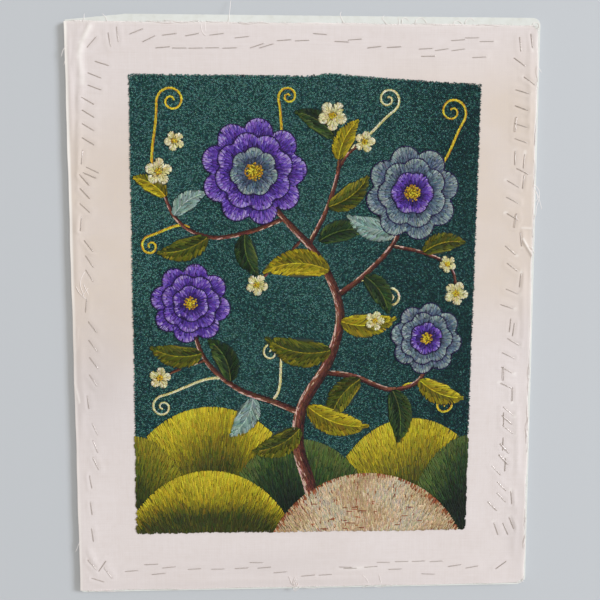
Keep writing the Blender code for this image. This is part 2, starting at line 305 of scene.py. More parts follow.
paper, shader = new_material("board_paper", PAPER_COLOUR, 0.72)
where = place_in_mm(shader)
stains = add_node(shader, "Group", {"Place": where, "Spot Size": 1.1}, node_tree=soiling)["Mask"]
feed(shader, {"Base Color": tint(PAPER_COLOUR, PAPER_SOILED, stains)})
waves = combine(noise_at(where, 0.12, 2), "MULTIPLY", 2)
bump(shader, combine(noise_at(where, 2.2, 4), "ADD", waves), 0.35, 0.06)
foam, shader = new_material("board_foam", FOAM_COLOUR, 0.85)
cells = {"Vector": place_in_mm(shader), "Scale": 2.6}
from_cell = add_node(shader, "TexVoronoi", cells)["Distance"]
feed(shader, {"Base Color": tint(FOAM_SHADE, FOAM_COLOUR, from_cell)})
bump(shader, from_cell, 0.8, 0.15)
board = add_object("board", new_mesh("board", np.vstack(points), faces), paper, foam)
board.data.polygons.foreach_set("material_index", paper_or_foam)
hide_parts("backing_board")
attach(board, "root")


# --- Staples' places ---
# Office staples hold the cloth in short uneven runs round its bare margin. Their places are worked
# out first, because the cloth puckers beside each of them.

STAPLE_CROWN = 12.7
STAPLE_JITTER = 0.6
SLANT_JITTER = 3
STAPLE_SEED = 16
STAPLE_RUNS = {
    # first, last, count, inset, stagger, slant
    "top": (
        (-180, -180, 1, 24, 0, 49), (-165, -158, 2, 19.5, -2.5, -81), (-142, -132, 2, 18, 3, 24),
        (-121, -64, 5, 28, 0, 3), (-115, -75, 3, 16.5, 0, 9), (-53, -53, 1, 19, 0, 7),
        (-40, -32, 2, 25.5, 0, 17), (-18, -2, 2, 21, 0, 3), (14, 32, 2, 19, 3, -2),
        (43, 43, 1, 20, 0, 6), (60, 77, 2, 25.5, 0, 5), (105, 133, 3, 27.5, 0, 6),
        (132, 157, 3, 19, -1, 4), (107, 151, 2, 33.5, 0, 4),
    ),
    "right": (
        (232, 234, 2, 12.5, -5.5, -82), (217, 201, 2, 13.5, -4.5, -34), (191, 149, 4, 15, 0, -18),
        (164, 135, 2, 20, 0, -93), (132, 114, 2, 11.5, 0, -96), (123, 123, 1, 13, 0, -27),
        (112, 84, 3, 20.5, 0, -28), (80, 80, 1, 18, 0, -97), (64, 64, 1, 12.5, 0, -84),
        (54, 39, 2, 21, -1, -39), (28, 28, 1, 12, 0, -93), (17, 4, 2, 21, 2, -20),
        (-13, -17, 2, 18.5, -1.5, -98), (-28, -28, 1, 17, 0, -29), (-40, -67, 3, 21.5, 0, -26),
        (-57, -75, 2, 21, -4, -92), (-98, -121, 2, 24.5, 0, -92), (-140, -140, 1, 22, 0, -90),
        (-90, -108, 3, 20.5, 0, -41), (-125, -135, 2, 23, 0, -47), (-145, -145, 1, 30, 0, -45),
        (-161, -171, 2, 24.5, 0, -48), (-179, -179, 1, 33, 0, -49), (-171, -171, 1, 15, 0, -84),
        (-201, -200, 2, 24.5, -4.5, -68), (-195, -195, 1, 14, 0, -66),
    ),
    "left": (
        (212, 212, 1, 31, 0, -19), (203, 192, 2, 24, 0, -22), (182, 148, 4, 17.5, 0, -30),
        (134, 134, 1, 12, 0, -94), (123, 119, 2, 19, -1, -26), (115, 91, 3, 13, 0, -46),
        (77, 77, 1, 10, 0, -95), (58, 32, 3, 15.4, 0, -56), (7, 7, 1, 12.3, 0, -96),
        (-13, -60, 4, 16.4, 0, -56), (-79, -79, 1, 11.5, 0, -86), (-103, -134, 3, 17, 0, -68),
        (-151, -200, 3, 12, 0, -82), (-228, -236, 2, 18, 7, -54), (-229, -229, 1, 20, 0, 52),
        (-243, -243, 1, 16, 0, -20),
    ),
    "bottom": (
        (-157, -139, 2, 22.5, 3.5, 3), (-133, -123, 2, 19, 3, 3), (-100, -37, 4, 20.5, 0, 3),
        (-44, -22, 2, 21, -5, 1), (3, 19, 2, 12.8, 0, 2), (37, 42, 2, 19, -1, -2),
        (60, 60, 1, 20, 0, 3), (72, 121, 4, 24, 0, 0), (83, 113, 2, 14.5, -2.5, -2),
        (138, 154, 2, 19, -1, 8), (181, 181, 1, 19.5, 0, 39),
    ),
}


def staple_places():
    """The middle and the slant, in radians, of every staple along the four sides."""
    draw = random.Random(STAPLE_SEED)
    places = []
    for side, runs in STAPLE_RUNS.items():
        for first, last, count, inset, stagger, slant in runs:
            for i in range(count):
                share = i / max(1, count - 1)
                along = first + share * (last - first) + draw.uniform(-1, 1) * STAPLE_JITTER
                depth = inset + (stagger if i % 2 else -stagger) + draw.uniform(-1, 1) * STAPLE_JITTER
                turn = math.radians(slant + draw.uniform(-1, 1) * SLANT_JITTER)
                places.append(
                    {
                        "top": (along, TOP - depth, turn),
                        "bottom": (along, BOTTOM + depth, turn),
                        "left": (LEFT + depth, along, turn),
                        "right": (RIGHT - depth, along, turn),
                    }[side]
                )
    return np.array(places)


def unit(turn):
    """Unit directions at these angles."""
    return np.column_stack([np.cos(turn), np.sin(turn)])


staples = staple_places()
crown_half = STAPLE_CROWN / 2 * unit(staples[:, 2])


# --- Ground cloth ---
# One piece of fine white cotton with raw edges, pulled flat over the board. It is turned down over
# the board's left side, stops short of the other three sides, and puckers beside its staples.

CLOTH_THICK = 0.45
CLOTH_LIFT = 0.04
CLOTH_TOP_INSET = 7.1
CLOTH_BOTTOM_INSET = 1.9
CLOTH_RIGHT_INSET = 2.6
CLOTH_WRAP_LOWEST = 2
EDGE_WAVE = 0.5
RIGHT_WAVE = 0.8
LEFT_BULGE = 0.5
EDGE_CURL = 0.3
CURL_REACH = 1.4
MARGIN = 54
MARGIN_STEP = 1.9
MIDDLE_STEP = 25
LEFT_FINE = 9
FINE_STEP = 0.9
RIM_STEP = 0.25
BEND_STEPS = 5
FLAT_AT_BEND = 3
CLOTH_RIDGES = (
    # x0, y0, x1, y1, height, half_width
    (-180, 246, -188.2, 230, 1.6, 2.8), (-188.2, 230, -191, 219, 1.6, 2.8),
    (-191, 219, -189.6, 200, 1.2, 2.7), (-189.6, 200, -192.5, 172, 0.9, 3),
    (-188, 247, -197, 205, 0.8, 4.6), (-192.5, 172, -194.5, 108, 0.7, 3),
    (-199, 236, -199, 150, 0.6, 3), (-197, 90, -197.5, 20, 0.6, 3.2), (-196, -20, -197, -110, 0.5, 3.4),
    (-195, -212, -186, -238, 0.8, 3.2), (-202.6, -63, -199.2, -79, 0.7, 1.1),
    (-201.8, -10, -201.4, -35, 0.4, 1), (-199, -12, -199.6, -34, 0.35, 1),
    (195.5, 232, 196, 150, 0.5, 2.8), (191.4, 73.8, 201, 73.2, 0.45, 1.1),
    (194, 40, 195.5, -30, 0.5, 2.8), (192, -86, 193.5, -150, 0.6, 3), (194, -176, 192, -226, 0.4, 3),
    (-96, 243, -30, 243.5, 0.2, 2.6), (60, 241, 150, 242.5, 0.5, 2.8), (-60, -244, 40, -245.5, 0.5, 3),
)
# A small pleat at the right: it swells from its crease to the fold line, then drops steeply.
FLAP_CREASE = 74
FLAP_FOLD = (191.8, 64.2, 200.4, 50.6)
FLAP_HEIGHT = 1.1
FLAP_SWELL = 2.8
FLAP_DROP = 0.8
FLAP_LEFT = 2.5
FLAP_ROWS = (44, 78)
FLAP_STEP = 0.85
PUCKER_HEIGHT = 0.5
PUCKER_AWAY = 2.6
PUCKER_SPREAD = 2.1
PUCKER_REACH = 16
STAPLE_HOLD = (0.85, 1.1)  # how flat a staple holds the cloth, and how far round it
SLACK = 0.1
CORNER_TRIM = (6.5, 4)
UPPER_TRIM = (5, 4)
COTTON_COLOUR = (231, 221, 218)
COTTON_SHADE = (216, 203, 196)
COTTON_TONED = (222, 207, 193)
# The colour of the painted highlights on the cloth
COTTON_HIGHLIGHT = (255, 249, 242)
COTTON_DARKER = (205, 195, 192)
# The toned band: its middle height, and where it is full and gone above and below that
TONED_BAND = (80, 60, 150)
TONED_SLOPE = 0.125
# Painted highlights on the lit sides of the folds and ridges, and along the pleat's lip and crease
HIGHLIGHT_LINES = (
    # x0, y0, x1, y1, strength, half width
    (-181, 243.5, -188.4, 229.5, 0.6, 2.1), (-188.4, 229.5, -190.4, 219, 0.65, 2.3),
    (-190.4, 219, -188.4, 196, 0.42, 2), (193, 64.4, 201.2, 51.4, 0.7, 0.9),
    (191.6, 73.8, 201, 73.2, 0.5, 0.8), (-203, -62, -199, -79, 0.6, 1),
    (-201.6, -10, -201.2, -35, 0.3, 0.9),
)
# Painted highlight along the bend at the left: how far in it reaches, how soon that fades, and how
# strong it is from low to high
BEND_HIGHLIGHT = (2.6, 2, (-40, 110), (0.35, 1))
RIM_HIGHLIGHT = (2, 0.38)  # how far in the painted highlight along the top and right cut edges reaches, and how strong it is
# Painted highlights on the cloth bunched beside some staples: their strength and size
LUMP_HIGHLIGHT = 0.8
LUMP_SIZE = 1.3
# Patches where the cloth is painted darker, two of them along its bottom edge
DARKER_PATCHES = (
    # x, y, half width, half height, strength
    (-184, -60, 34, 52, 0.5), (198, -18, 9, 26, 0.35), (196, -205, 10, 34, 0.4),
    (-30, -232, 70, 14, 0.25), (-30, -250, 160, 6, 0.3),
)
WEAVE_PITCH = 0.45


def fade(distance, reach):
    """1 at no distance, and down to 0 at the reach."""
    return np.clip(1 - distance / reach, 0, 1)


def bell(distance, width):
    return np.exp(-((distance / width) ** 2))


def wave(at, phase):
    """How a cut edge wanders, from about -1 to 1."""
    return 0.6 * np.sin(at / 17 + phase) + 0.4 * np.sin(at / 6.3 + 2.1 * phase)


def from_line(x, y, x0, y0, x1, y1):
    """The share along a line, the distance past its ends and the distance across it."""
    length = math.hypot(x1 - x0, y1 - y0)
    share = ((x - x0) * (x1 - x0) + (y - y0) * (y1 - y0)) / length**2
    beyond = np.maximum(0, np.maximum(-share, share - 1)) * length
    share = np.clip(share, 0, 1)
    across = np.hypot(x - x0 - share * (x1 - x0), y - y0 - share * (y1 - y0))
    return share, beyond, across


def flap_rise(x, y):
    """The height of the pleat, whose fold line slants to the cloth's edge."""
    x0, y0, x1, y1 = FLAP_FOLD
    past_fold = ((y - y0) * (x1 - x0) - (x - x0) * (y1 - y0)) / math.hypot(x1 - x0, y1 - y0)
    swell = np.exp(-np.maximum(0, past_fold) / FLAP_SWELL)
    drop = fade(np.maximum(0, -past_fold) + np.maximum(0, x0 - x), FLAP_DROP)
    return FLAP_HEIGHT * swell * drop * np.clip((FLAP_CREASE - y) / 5, 0, 1)


def cloth_rise(x, y):
    """How far the cloth's folds and puckers stand off the board."""
    rise = flap_rise(x, y)
    for *line, height, half_width in CLOTH_RIDGES:
        share, beyond, across = from_line(x, y, *line)
        ends = np.minimum(1, 0.35 + 4 * np.minimum(share, 1 - share))
        ridge = height * ends * np.exp(-((across / half_width) ** 2) - (beyond / half_width) ** 2)
        rise = np.maximum(rise, ridge)
    pressed = np.full_like(x, 1e9)
    draw = np.random.default_rng(7)
    puckers = np.zeros_like(x)
    for (sx, sy, _), (hx, hy) in zip(staples, crown_half):
        near = np.maximum(np.abs(x - sx), np.abs(y - sy)) < PUCKER_REACH
        _, beyond, across = from_line(x[near], y[near], sx - hx, sy - hy, sx + hx, sy + hy)
        away = np.hypot(across, beyond)
        side = np.sign((x[near] - sx) * hy - (y[near] - sy) * hx)
        size = np.where(side > 0, *draw.uniform(0.15, 1, 2)) * PUCKER_HEIGHT
        puckers[near] = np.maximum(puckers[near], size * bell(away - PUCKER_AWAY, PUCKER_SPREAD))
        pressed[near] = np.minimum(pressed[near], away)
    slack = SLACK * (1 + np.sin(x / 9 + 2 * np.sin(y / 14)) * np.sin(y / 11 + np.sin(x / 17)))
    return (rise + puckers + slack) * (1 - STAPLE_HOLD[0] * bell(pressed, STAPLE_HOLD[1]))


def spread(*stops):
    """Places from the first stop to the last. Each stop comes with the step towards the next."""
    places = []
    for (start, step), (end, _) in zip(stops, stops[1:]):
        places.extend(np.linspace(start, end, max(1, round((end - start) / step)), endpoint=False))
    return np.array([*places, stops[-1][0]])


right_edge = RIGHT - CLOTH_RIGHT_INSET
low_edge, high_edge = BOTTOM + CLOTH_BOTTOM_INSET, TOP - CLOTH_TOP_INSET
columns = spread(
    (LEFT, FINE_STEP),
    (LEFT + LEFT_FINE, MARGIN_STEP),
    (LEFT + MARGIN, MIDDLE_STEP),
    (right_edge - MARGIN, MARGIN_STEP),
    (FLAP_FOLD[0] - FLAP_LEFT, FLAP_STEP),
    (right_edge - RIM_STEP, RIM_STEP),
    (right_edge, None),
)
rows = spread(
    (low_edge, RIM_STEP),
    (low_edge + RIM_STEP, MARGIN_STEP),
    (FLAP_ROWS[0], FLAP_STEP),
    (FLAP_ROWS[1], MARGIN_STEP),
    (high_edge - RIM_STEP, RIM_STEP),
    (high_edge, None),
)
flat_x, flat_y = np.meshgrid(columns, rows)
from_right, from_low, from_high = right_edge - flat_x, flat_y - low_edge, high_edge - flat_y
bulge = LEFT_BULGE * (0.5 + 0.5 * wave(rows, 5.2))[:, None]
face_x = flat_x + RIGHT_WAVE * wave(flat_y, 2.3) * fade(from_right, MARGIN)
face_x -= bulge * fade(flat_x - LEFT, LEFT_FINE)
up_share = from_low / (high_edge - low_edge)
face_y = flat_y + EDGE_WAVE * (up_share * wave(face_x, 0.4) + (1 - up_share) * wave(face_x, 3.9))
face_y += CORNER_TRIM[1] * fade(from_right, CORNER_TRIM[0]) * fade(from_low, 4 * CORNER_TRIM[1])
face_y -= UPPER_TRIM[1] * fade(from_right, UPPER_TRIM[0]) ** 1.5 * fade(from_high, 4 * UPPER_TRIM[1])
from_edge = np.minimum(np.minimum(from_right, from_high), from_low)
curl = EDGE_CURL * np.exp(-from_edge / CURL_REACH) * (0.5 + 0.5 * np.sin(flat_x / 5.1 + flat_y / 6.7))
from_left = np.clip((flat_x - LEFT) / FLAT_AT_BEND, 0, 1)
under_z = BOARD_TOP + CLOTH_LIFT + (cloth_rise(face_x, face_y) + curl) * from_left


def cloth_side(reach, face_z):
    """One side of the cloth: its turn-down at this reach round the board's rim, then its face."""
    turns = np.array([math.pi, *np.linspace(math.pi, math.pi / 2, BEND_STEPS, endpoint=False)])
    x = LEFT + reach * np.cos(turns) - bulge
    y = np.repeat(face_y[:, :1], len(turns), 1)
    z = np.tile(BOARD_TOP + reach * np.sin(turns), (len(rows), 1))
    z[:, 0] = CLOTH_WRAP_LOWEST + 0.5 * wave(rows, 0.7)
    return np.dstack([np.hstack(pair) for pair in ((x, face_x), (y, face_y), (z, face_z))])


def smooth_mesh(name, points, corners, sides):
    """A smooth mesh, from points in millimetres, each face's corners and its number of sides."""
    mesh = bpy.data.meshes.new(name)
    mesh.vertices.add(len(points))
    mesh.vertices.foreach_set("co", (points * MM).astype(np.float32).ravel())
    mesh.loops.add(len(corners))
    mesh.loops.foreach_set("vertex_index", corners.astype(np.int32))
    mesh.polygons.add(len(sides))
    mesh.polygons.foreach_set("loop_start", (np.cumsum(sides) - sides).astype(np.int32))
    mesh.polygons.foreach_set("loop_total", sides.astype(np.int32))
    mesh.update(calc_edges=True)
    mesh.shade_smooth()
    return mesh


def layer_mesh(name, upper, under):
    """A closed layer between two grids of points, one over the other."""
    tall, wide = upper.shape[:2]
    index = np.arange(tall * wide).reshape(tall, wide)
    top = np.stack([index[:-1, :-1], index[:-1, 1:], index[1:, 1:], index[1:, :-1]], -1).reshape(-1, 4)
    rim = np.concatenate([index[0, :-1], index[:-1, -1], index[-1, :0:-1], index[:0:-1, 0]])
    onward = np.roll(rim, -1)
    sides = np.column_stack([onward, rim, rim + index.size, onward + index.size])
    quads = np.vstack([top, top[:, ::-1] + index.size, sides])
    points = np.concatenate([upper, under]).reshape(-1, 3)
    return smooth_mesh(name, points, quads.ravel(), np.full(len(quads), 4))


def paint(mesh, name, colours):
    """Gives each point of a mesh its red, green and blue, under a name."""
    values = np.ones((len(mesh.vertices), 4), np.float32)
    values[:, :3] = colours
    mesh.color_attributes.new(name, "FLOAT_COLOR", "POINT")
    mesh.color_attributes[name].data.foreach_set("color", values.ravel())


def painted(shader, name):
    """The colour that a mesh's points have under a name."""
    return add_node(shader, "Attribute", {}, attribute_name=name)["Color"]


def along_axes(place):
    """The X, Y and Z of a place."""
    return add_node(place, "SeparateXYZ", {0: place})


under = cloth_side(CLOTH_LIFT, under_z)
upper = cloth_side(CLOTH_LIFT + CLOTH_THICK, under_z + CLOTH_THICK)
cloth_mesh = layer_mesh("cotton", upper, under)

# Painted highlight on each point of the cloth (red): along the left bend, on the lit sides of its folds
# and ridges, along the top and right cut edges and beside some staples. How much darker it is painted
# in patches (green)
x, y, _ = np.concatenate([upper, under]).reshape(-1, 3).T
painted_highlight = np.clip((LEFT + BEND_HIGHLIGHT[0] - x) / BEND_HIGHLIGHT[1], 0, 1) * np.interp(y, *BEND_HIGHLIGHT[2:])
for *line, strength, half_width in HIGHLIGHT_LINES:
    _, beyond, across = from_line(x, y, *line)
    painted_highlight = np.maximum(painted_highlight, strength * bell(np.hypot(across, beyond), half_width))
from_rim = np.minimum(right_edge - x, high_edge - y)
painted_highlight = np.maximum(painted_highlight, RIM_HIGHLIGHT[1] * fade(from_rim, RIM_HIGHLIGHT[0]))
draw = np.random.default_rng(19)
# Painted highlights where the cloth bunches beside a leg of some staples on the right half
for (staple_x, staple_y, _), (half_x, half_y) in zip(staples, crown_half):
    end = 1.2 * draw.choice((-1, 1))
    strength = LUMP_HIGHLIGHT * draw.random() ** 2 * (staple_x > 0)
    away = np.hypot(x - staple_x - end * half_x, y - staple_y - end * half_y)
    painted_highlight = np.maximum(painted_highlight, strength * bell(away, LUMP_SIZE))
# How much darker each point of the cloth is painted in the patches
patch_darkening = np.zeros_like(x)
for spot_x, spot_y, half_width, half_height, strength in DARKER_PATCHES:
    away = ((x - spot_x) / half_width) ** 2 + ((y - spot_y) / half_height) ** 2
    patch_darkening = np.maximum(patch_darkening, strength * np.exp(-away))
paint(cloth_mesh, "highlight_and_patches", np.column_stack([painted_highlight, patch_darkening, np.zeros_like(x)]))

# Plain weave: threads that pass over and under each other, with thicker slubs here and there.
weave, given, made = add_group("plain_weave", {"Place": None, "Pitch": WEAVE_PITCH}, ["Height", "Slub"])
turns_per_mm = combine(math.pi, "DIVIDE", given["Pitch"])
across, up, _ = along_axes(given["Place"])
warp, weft = (combine(combine(way, "MULTIPLY", turns_per_mm), "SINE") for way in (across, up))
slubs = [noise_at(given["Place"], 1, 2, stretch) for stretch in ((1.6, 0.035, 0), (0.03, 1.4, 0))]
slub = combine(slubs[0], "ADD", slubs[1])
height = combine(combine(warp, "MULTIPLY", weft), "ADD", combine(slub, "MULTIPLY", 1.5))
feed(made, {"Slub": combine(slub, "MULTIPLY", 0.5), "Height": height})

cotton, shader = new_material("white_cotton", COTTON_COLOUR, 0.88)
where = place_in_mm(shader)
woven = add_node(shader, "Group", {"Place": where, "Pitch": WEAVE_PITCH}, node_tree=weave)
stains = add_node(shader, "Group", {"Place": where, "Spot Size": 0.95}, node_tree=soiling)["Mask"]
across, up, _ = along_axes(where)
off_band = combine(up, "SUBTRACT", combine(across, "MULTIPLY", TONED_SLOPE))
off_band = combine(combine(off_band, "SUBTRACT", TONED_BAND[0]), "ABSOLUTE")
band = {"From Min": TONED_BAND[1], "From Max": TONED_BAND[2], "To Min": 1, "To Max": 0}
in_band = add_node(shader, "MapRange", {0: off_band, **band}, interpolation_type="SMOOTHSTEP")[0]
toning = combine(in_band, "MULTIPLY", combine(noise_at(where, 0.03, 2), "ADD", 0.45))
threads = combine(combine(woven["Slub"], "SUBTRACT", 0.5), "MULTIPLY", 1.2)
shade_share = combine(combine(stains, "MULTIPLY", 0.7), "ADD", threads)
# The painted highlight (red) and the darker patches (green) that each point of the cloth carries
wear_and_highlight = add_node(shader, "SeparateColor", {0: painted(shader, "highlight_and_patches")})
colour = tint(COTTON_COLOUR, COTTON_TONED, toning)
colour = tint(colour, COTTON_SHADE, shade_share)
# The cloth painted darker in patches
colour = tint(colour, COTTON_DARKER, wear_and_highlight["Green"])
# The painted highlights lighten the cloth on its folds, its bend, its cut edges and beside some staples
colour = tint(colour, COTTON_HIGHLIGHT, wear_and_highlight["Red"])
feed(shader, {"Base Color": colour, "Sheen Weight": 0.12, "Sheen Roughness": 0.4})
bump(shader, woven["Height"], 0.5, 0.05)
cloth = add_object("cotton", cloth_mesh, cotton)
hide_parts("ground_cloth")
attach(cloth, "root")


# --- Wire staples ---
# Bright wire with a half inch crown. Both legs go through the cloth into the board, and where two
# staples cross, the later one rides over the earlier.

WIRE_RADIUS = 0.3
WIRE_SIDES = 6
WIRE_SHOULDER = 0.55
WIRE_SEATS = (-0.9, -0.45, 0, 0.45, 0.9)  # where the crown may rest, in shares of its half
LEG_DEPTH = 4.2
CROSS_LIFT = 0.45
WIRE_COLOUR = (204, 195, 188)
WIRE_DARK = (176, 163, 155)
WIRE_BRIGHT = (232, 225, 219)

cloth_top_z = (under_z + CLOTH_THICK).ravel()


def cloth_height(x, y):
    """The cloth's upper side at a place: the height of the nearest point of its mesh."""
    return cloth_top_z[np.argmin((face_x.ravel() - x) ** 2 + (face_y.ravel() - y) ** 2)]


def tube(path, radius, sides, tip=1):
    """Points and faces of a round wire or thread along a path, with flat ends and a thinner tip."""
    path = np.asarray(path, float)
    ahead = np.gradient(path, axis=0)
    ahead /= np.linalg.norm(ahead, axis=1)[:, None]
    up = np.array([0.0, 0, 1]) if abs(ahead[0, 2]) < 0.9 else np.array([1.0, 0, 0])
    turn = np.arange(sides)[:, None] / sides * 2 * math.pi
    rings = []
    for place, forward in zip(path, ahead):
        up = up - forward * (up @ forward)
        up /= np.linalg.norm(up)
        thick = radius * (tip if len(rings) == len(path) - 1 else 1)
        rings.append(place + thick * (np.cos(turn) * np.cross(forward, up) + np.sin(turn) * up))
    end = (len(path) - 1) * sides
    faces = [tuple(range(sides))]
    for low in range(0, end, sides):
        high = low + sides
        for i in range(sides):
            j = (i + 1) % sides
            faces.append((low + i, high + i, high + j, low + j))
    faces.append(tuple(reversed(range(end, end + sides))))
    return np.vstack(rings), faces


def joined_mesh(name, shapes):
    """One smooth mesh of many tubes."""
    faces, shift = [], 0
    for points, new_faces in shapes:
        faces += [[i + shift for i in face] for face in new_faces]
        shift += len(points)
    corners = np.array([i for face in faces for i in face])
    sides = np.array([len(face) for face in faces])
    return smooth_mesh(name, np.vstack([points for points, _ in shapes]), corners, sides)


def crossed(i):
    """How many earlier staples this one crosses."""
    (off_x, off_y), (hx, hy) = (staples[:i, :2] - staples[i, :2]).T, crown_half[i]
    gx, gy = crown_half[:i].T
    across = hx * gy - hy * gx
    on_this = np.abs((off_x * gy - off_y * gx) / across) < 1
    on_other = np.abs((off_x * hy - off_y * hx) / across) < 1
    return int((on_this & on_other).sum())


reach = STAPLE_CROWN / 2 - WIRE_RADIUS
wires = []
for i, ((x, y, turn), half) in enumerate(zip(staples, crown_half)):
    seat = max(cloth_height(x + s * half[0], y + s * half[1]) for s in WIRE_SEATS)
    level = seat + WIRE_RADIUS * 0.9 + CROSS_LIFT * min(crossed(i), 2)
    leg = [(reach, BOARD_TOP - LEG_DEPTH), (reach, level - WIRE_SHOULDER)]
    for share in (0.33, 0.67, 1):
        bend = share * math.pi / 2
        out = reach - WIRE_SHOULDER * (1 - math.cos(bend))
        leg.append((out, level - WIRE_SHOULDER * (1 - math.sin(bend))))
    section = [(-out, z) for out, z in leg] + leg[::-1]
    path = [(x + out * math.cos(turn), y + out * math.sin(turn), z) for out, z in section]
    wires.append(tube(path, WIRE_RADIUS, WIRE_SIDES))
wire, shader = new_material("staple_wire", WIRE_COLOUR, 0.34, 1)
scratches = noise_at(place_in_mm(shader), 1.3, 3)
roughness = combine(combine(scratches, "MULTIPLY", 0.3), "ADD", 0.2)
feed(shader, {"Base Color": tint(WIRE_DARK, WIRE_BRIGHT, scratches), "Roughness": roughness})
wire_staples = add_object("wire_staples", joined_mesh("wire_staples", wires), wire)
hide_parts(*[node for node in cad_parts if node.startswith("staple_")])
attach(wire_staples, "root")


# --- Loose threads ---
# The raw edges fray: single cotton threads have come out of the weave and lie over the board's rim,
# curl back over the face or stand off the side, and short ends make a fringe along each cut edge.

THREAD_RADIUS = 0.22
THREAD_STEP = 1.2
THREAD_TIP = 0.4
FRINGE_RADIUS = 0.17
FRINGE_STEP = 0.6
FRINGE_TIP = 0.5
FRINGE_ROOT = 0.8
FRINGE_LEAN = 0.4
STRAY_RADIUS = 0.2
STRAY_STEP = 1.5
STRAY_SPAN = (9, 30)
EDGE_RADIUS = 0.3
EDGE_STEP = 3
THREADS = (
    # the third number of each place is its height over the board's back
    ((-186, 246.6, 5.7), (-186.2, 250.4, 5.1), (-185.7, 253.6, 5.1)),
    ((-166.6, 246.8, 5.7), (-168, 250.6, 5.1), (-170.9, 254, 5.1)),
    ((-64.9, 245.8, 5.7), (-64.2, 252.4, 5.1), (-63.3, 259.4, 5), (-62.7, 266.8, 2.4)),
    (
        (-88.3, 247.4, 5.5), (-88, 244.4, 5.7), (-87.3, 240.2, 5.8), (-85.4, 237.2, 5.8),
        (-82.8, 236, 5.7),
    ),
    ((-84.2, 247.2, 5.5), (-84.6, 243.5, 5.7), (-83.7, 239.3, 5.7)),
    ((33.9, 246.6, 5.6), (32.1, 250.6, 5.1), (30.4, 254.8, 5.1), (31.5, 257.6, 4.4)),
    ((71.3, 246.3, 5.6), (68.3, 249.7, 5.1), (66.4, 252.2, 5.1), (68.4, 254.6, 5.1)),
    ((80.6, 245.6, 5.6), (80.9, 249.3, 5.1), (80.2, 252.8, 5.1)),
    ((83.4, 247, 5.6), (83.6, 251.5, 5.1), (86.3, 252.8, 5.1), (89.7, 250.4, 5.1)),
    (
        (95, 246.9, 5.6), (95.7, 251.2, 5.1), (99.2, 252.8, 5.1), (102.6, 251.3, 5.1),
        (105.2, 248.3, 5.4),
    ),
    ((127.7, 246.6, 5.6), (128.6, 250, 5.1), (131.6, 250.9, 5.1), (135.6, 248.2, 5.4)),
    ((138.2, 246.8, 5.6), (138.7, 250.9, 5.1), (142.6, 253.1, 5.1), (146.5, 250.6, 5.1)),
    ((196.3, 246.6, 5.6), (198, 249.8, 5.1), (201.8, 249.2, 5.1), (202.4, 244.6, 5.3)),
    ((200.4, 216, 5.6), (202.7, 212.6, 5.1), (206.1, 208, 4.6)),
    ((200.2, 198.2, 5.6), (203.6, 195.2, 5.3)),
    (
        (200.7, 111.9, 5.6), (203.9, 110, 5.1), (206.6, 105.6, 5.3), (206.8, 99.8, 4.8),
        (204.8, 91.4, 4.6), (204.2, 85.7, 5.1), (200.9, 78.1, 5.6),
    ),
    ((200.8, 109.5, 5.6), (203.4, 106.8, 5.1), (206.3, 100.4, 5), (210.5, 90.2, 2.6)),
    ((200.8, 106, 5.6), (204, 104.6, 5.1), (205.4, 100, 5.1), (203.4, 96.6, 5.1)),
    ((199.7, 57.2, 7), (201.9, 54.6, 6.4), (204.4, 51.3, 5.1)),
    ((200, 53, 6.3), (203.6, 54.4, 5.1)),
    ((-14.4, -242.2, 6.2), (-13.2, -245.5, 6.5), (-11.6, -249.8, 6.1)),
    ((-8.9, -242.8, 6.2), (-10.2, -246.1, 6.5), (-11.3, -250.3, 6.1)),
    ((-7.9, -244.2, 6.4), (-9.9, -249.4, 6.4), (-10.8, -256.5, 4.6)),
    ((-7.5, -247.5, 6.2), (-8.8, -252.3, 6.3), (-9.9, -257, 4.2)),
    ((-5.7, -248.5, 6.1), (-7.8, -253.2, 6.1), (-9.5, -257.5, 3.8)),
    ((-4.4, -252.3, 5.7), (-7, -255.1, 5.3), (-9, -258.1, 3.4)),
    ((52.9, -242.5, 5.6), (56.1, -245.6, 5.8), (58.9, -250.4, 5.6)),
    ((67.9, -241.5, 5.6), (69.2, -247, 5.8), (71.6, -253.8, 5)),
    ((-200.9, 226.9, 6), (-203.5, 224.5, 5.6), (-205.3, 221.6, 4.8), (-206.3, 218.4, 3.8)),
    ((-203.2, 214.4, 5.2), (-204.7, 210.8, 4)),
    ((-202.2, -206.4, 5.6), (-203.9, -209.5, 4.9), (-205.6, -213.9, 3.8), (-207.4, -217.2, 3)),
    ((-191.4, 35.8, 5.7), (-194.5, 29.7, 5.9), (-195.2, 23.7, 6.1), (-192.8, 15.4, 5.7)),
    ((-192.5, 25.4, 5.7), (-190.5, 20.2, 5.8), (-188.4, 15.8, 5.7)),
    ((-188.7, 21.9, 5.7), (-191.4, 18.4, 5.9), (-193.2, 14.5, 5.9), (-190.3, 12.3, 5.7)),
    ((-199, 23.2, 6.1), (-196.6, 18.4, 6.2), (-193.2, 14.1, 5.8)),
)
CUT_EDGES = (
    # where the edge starts and ends, the way its cut ends point, their length, strays,
    # edge threads, and the size and phase of its wander
    ((LEFT + 2, high_edge), (right_edge, high_edge), (0, 1), 2.4, 8, (0, 0.42), EDGE_WAVE, 0.4),
    ((right_edge, low_edge), (right_edge, high_edge), (1, 0), 2.5, 20, (0.05, 0.5), RIGHT_WAVE, 2.3),
    ((LEFT, low_edge), (right_edge, low_edge), (0, -1), 1.1, 5, (), EDGE_WAVE, 3.9),
)
THREAD_COLOUR = (255, 249, 246)
THREAD_SHADE = (249, 240, 235)


def smooth_path(places, step):
    """A smooth line through given places, with a point about every step."""
    places = np.asarray(places, float)
    ends = np.vstack([2 * places[0] - places[1], places, 2 * places[-1] - places[-2]])
    run = []
    for a, b, c, d in zip(ends, ends[1:], ends[2:], ends[3:]):
        for t in np.linspace(0, 1, 12, endpoint=False):
            line = 2 * b + (c - a) * t + (2 * a - 5 * b + 4 * c - d) * t**2
            run.append((line + (3 * b - a - 3 * c + d) * t**3) / 2)
    return walk(np.array([*run, places[-1]]), step)


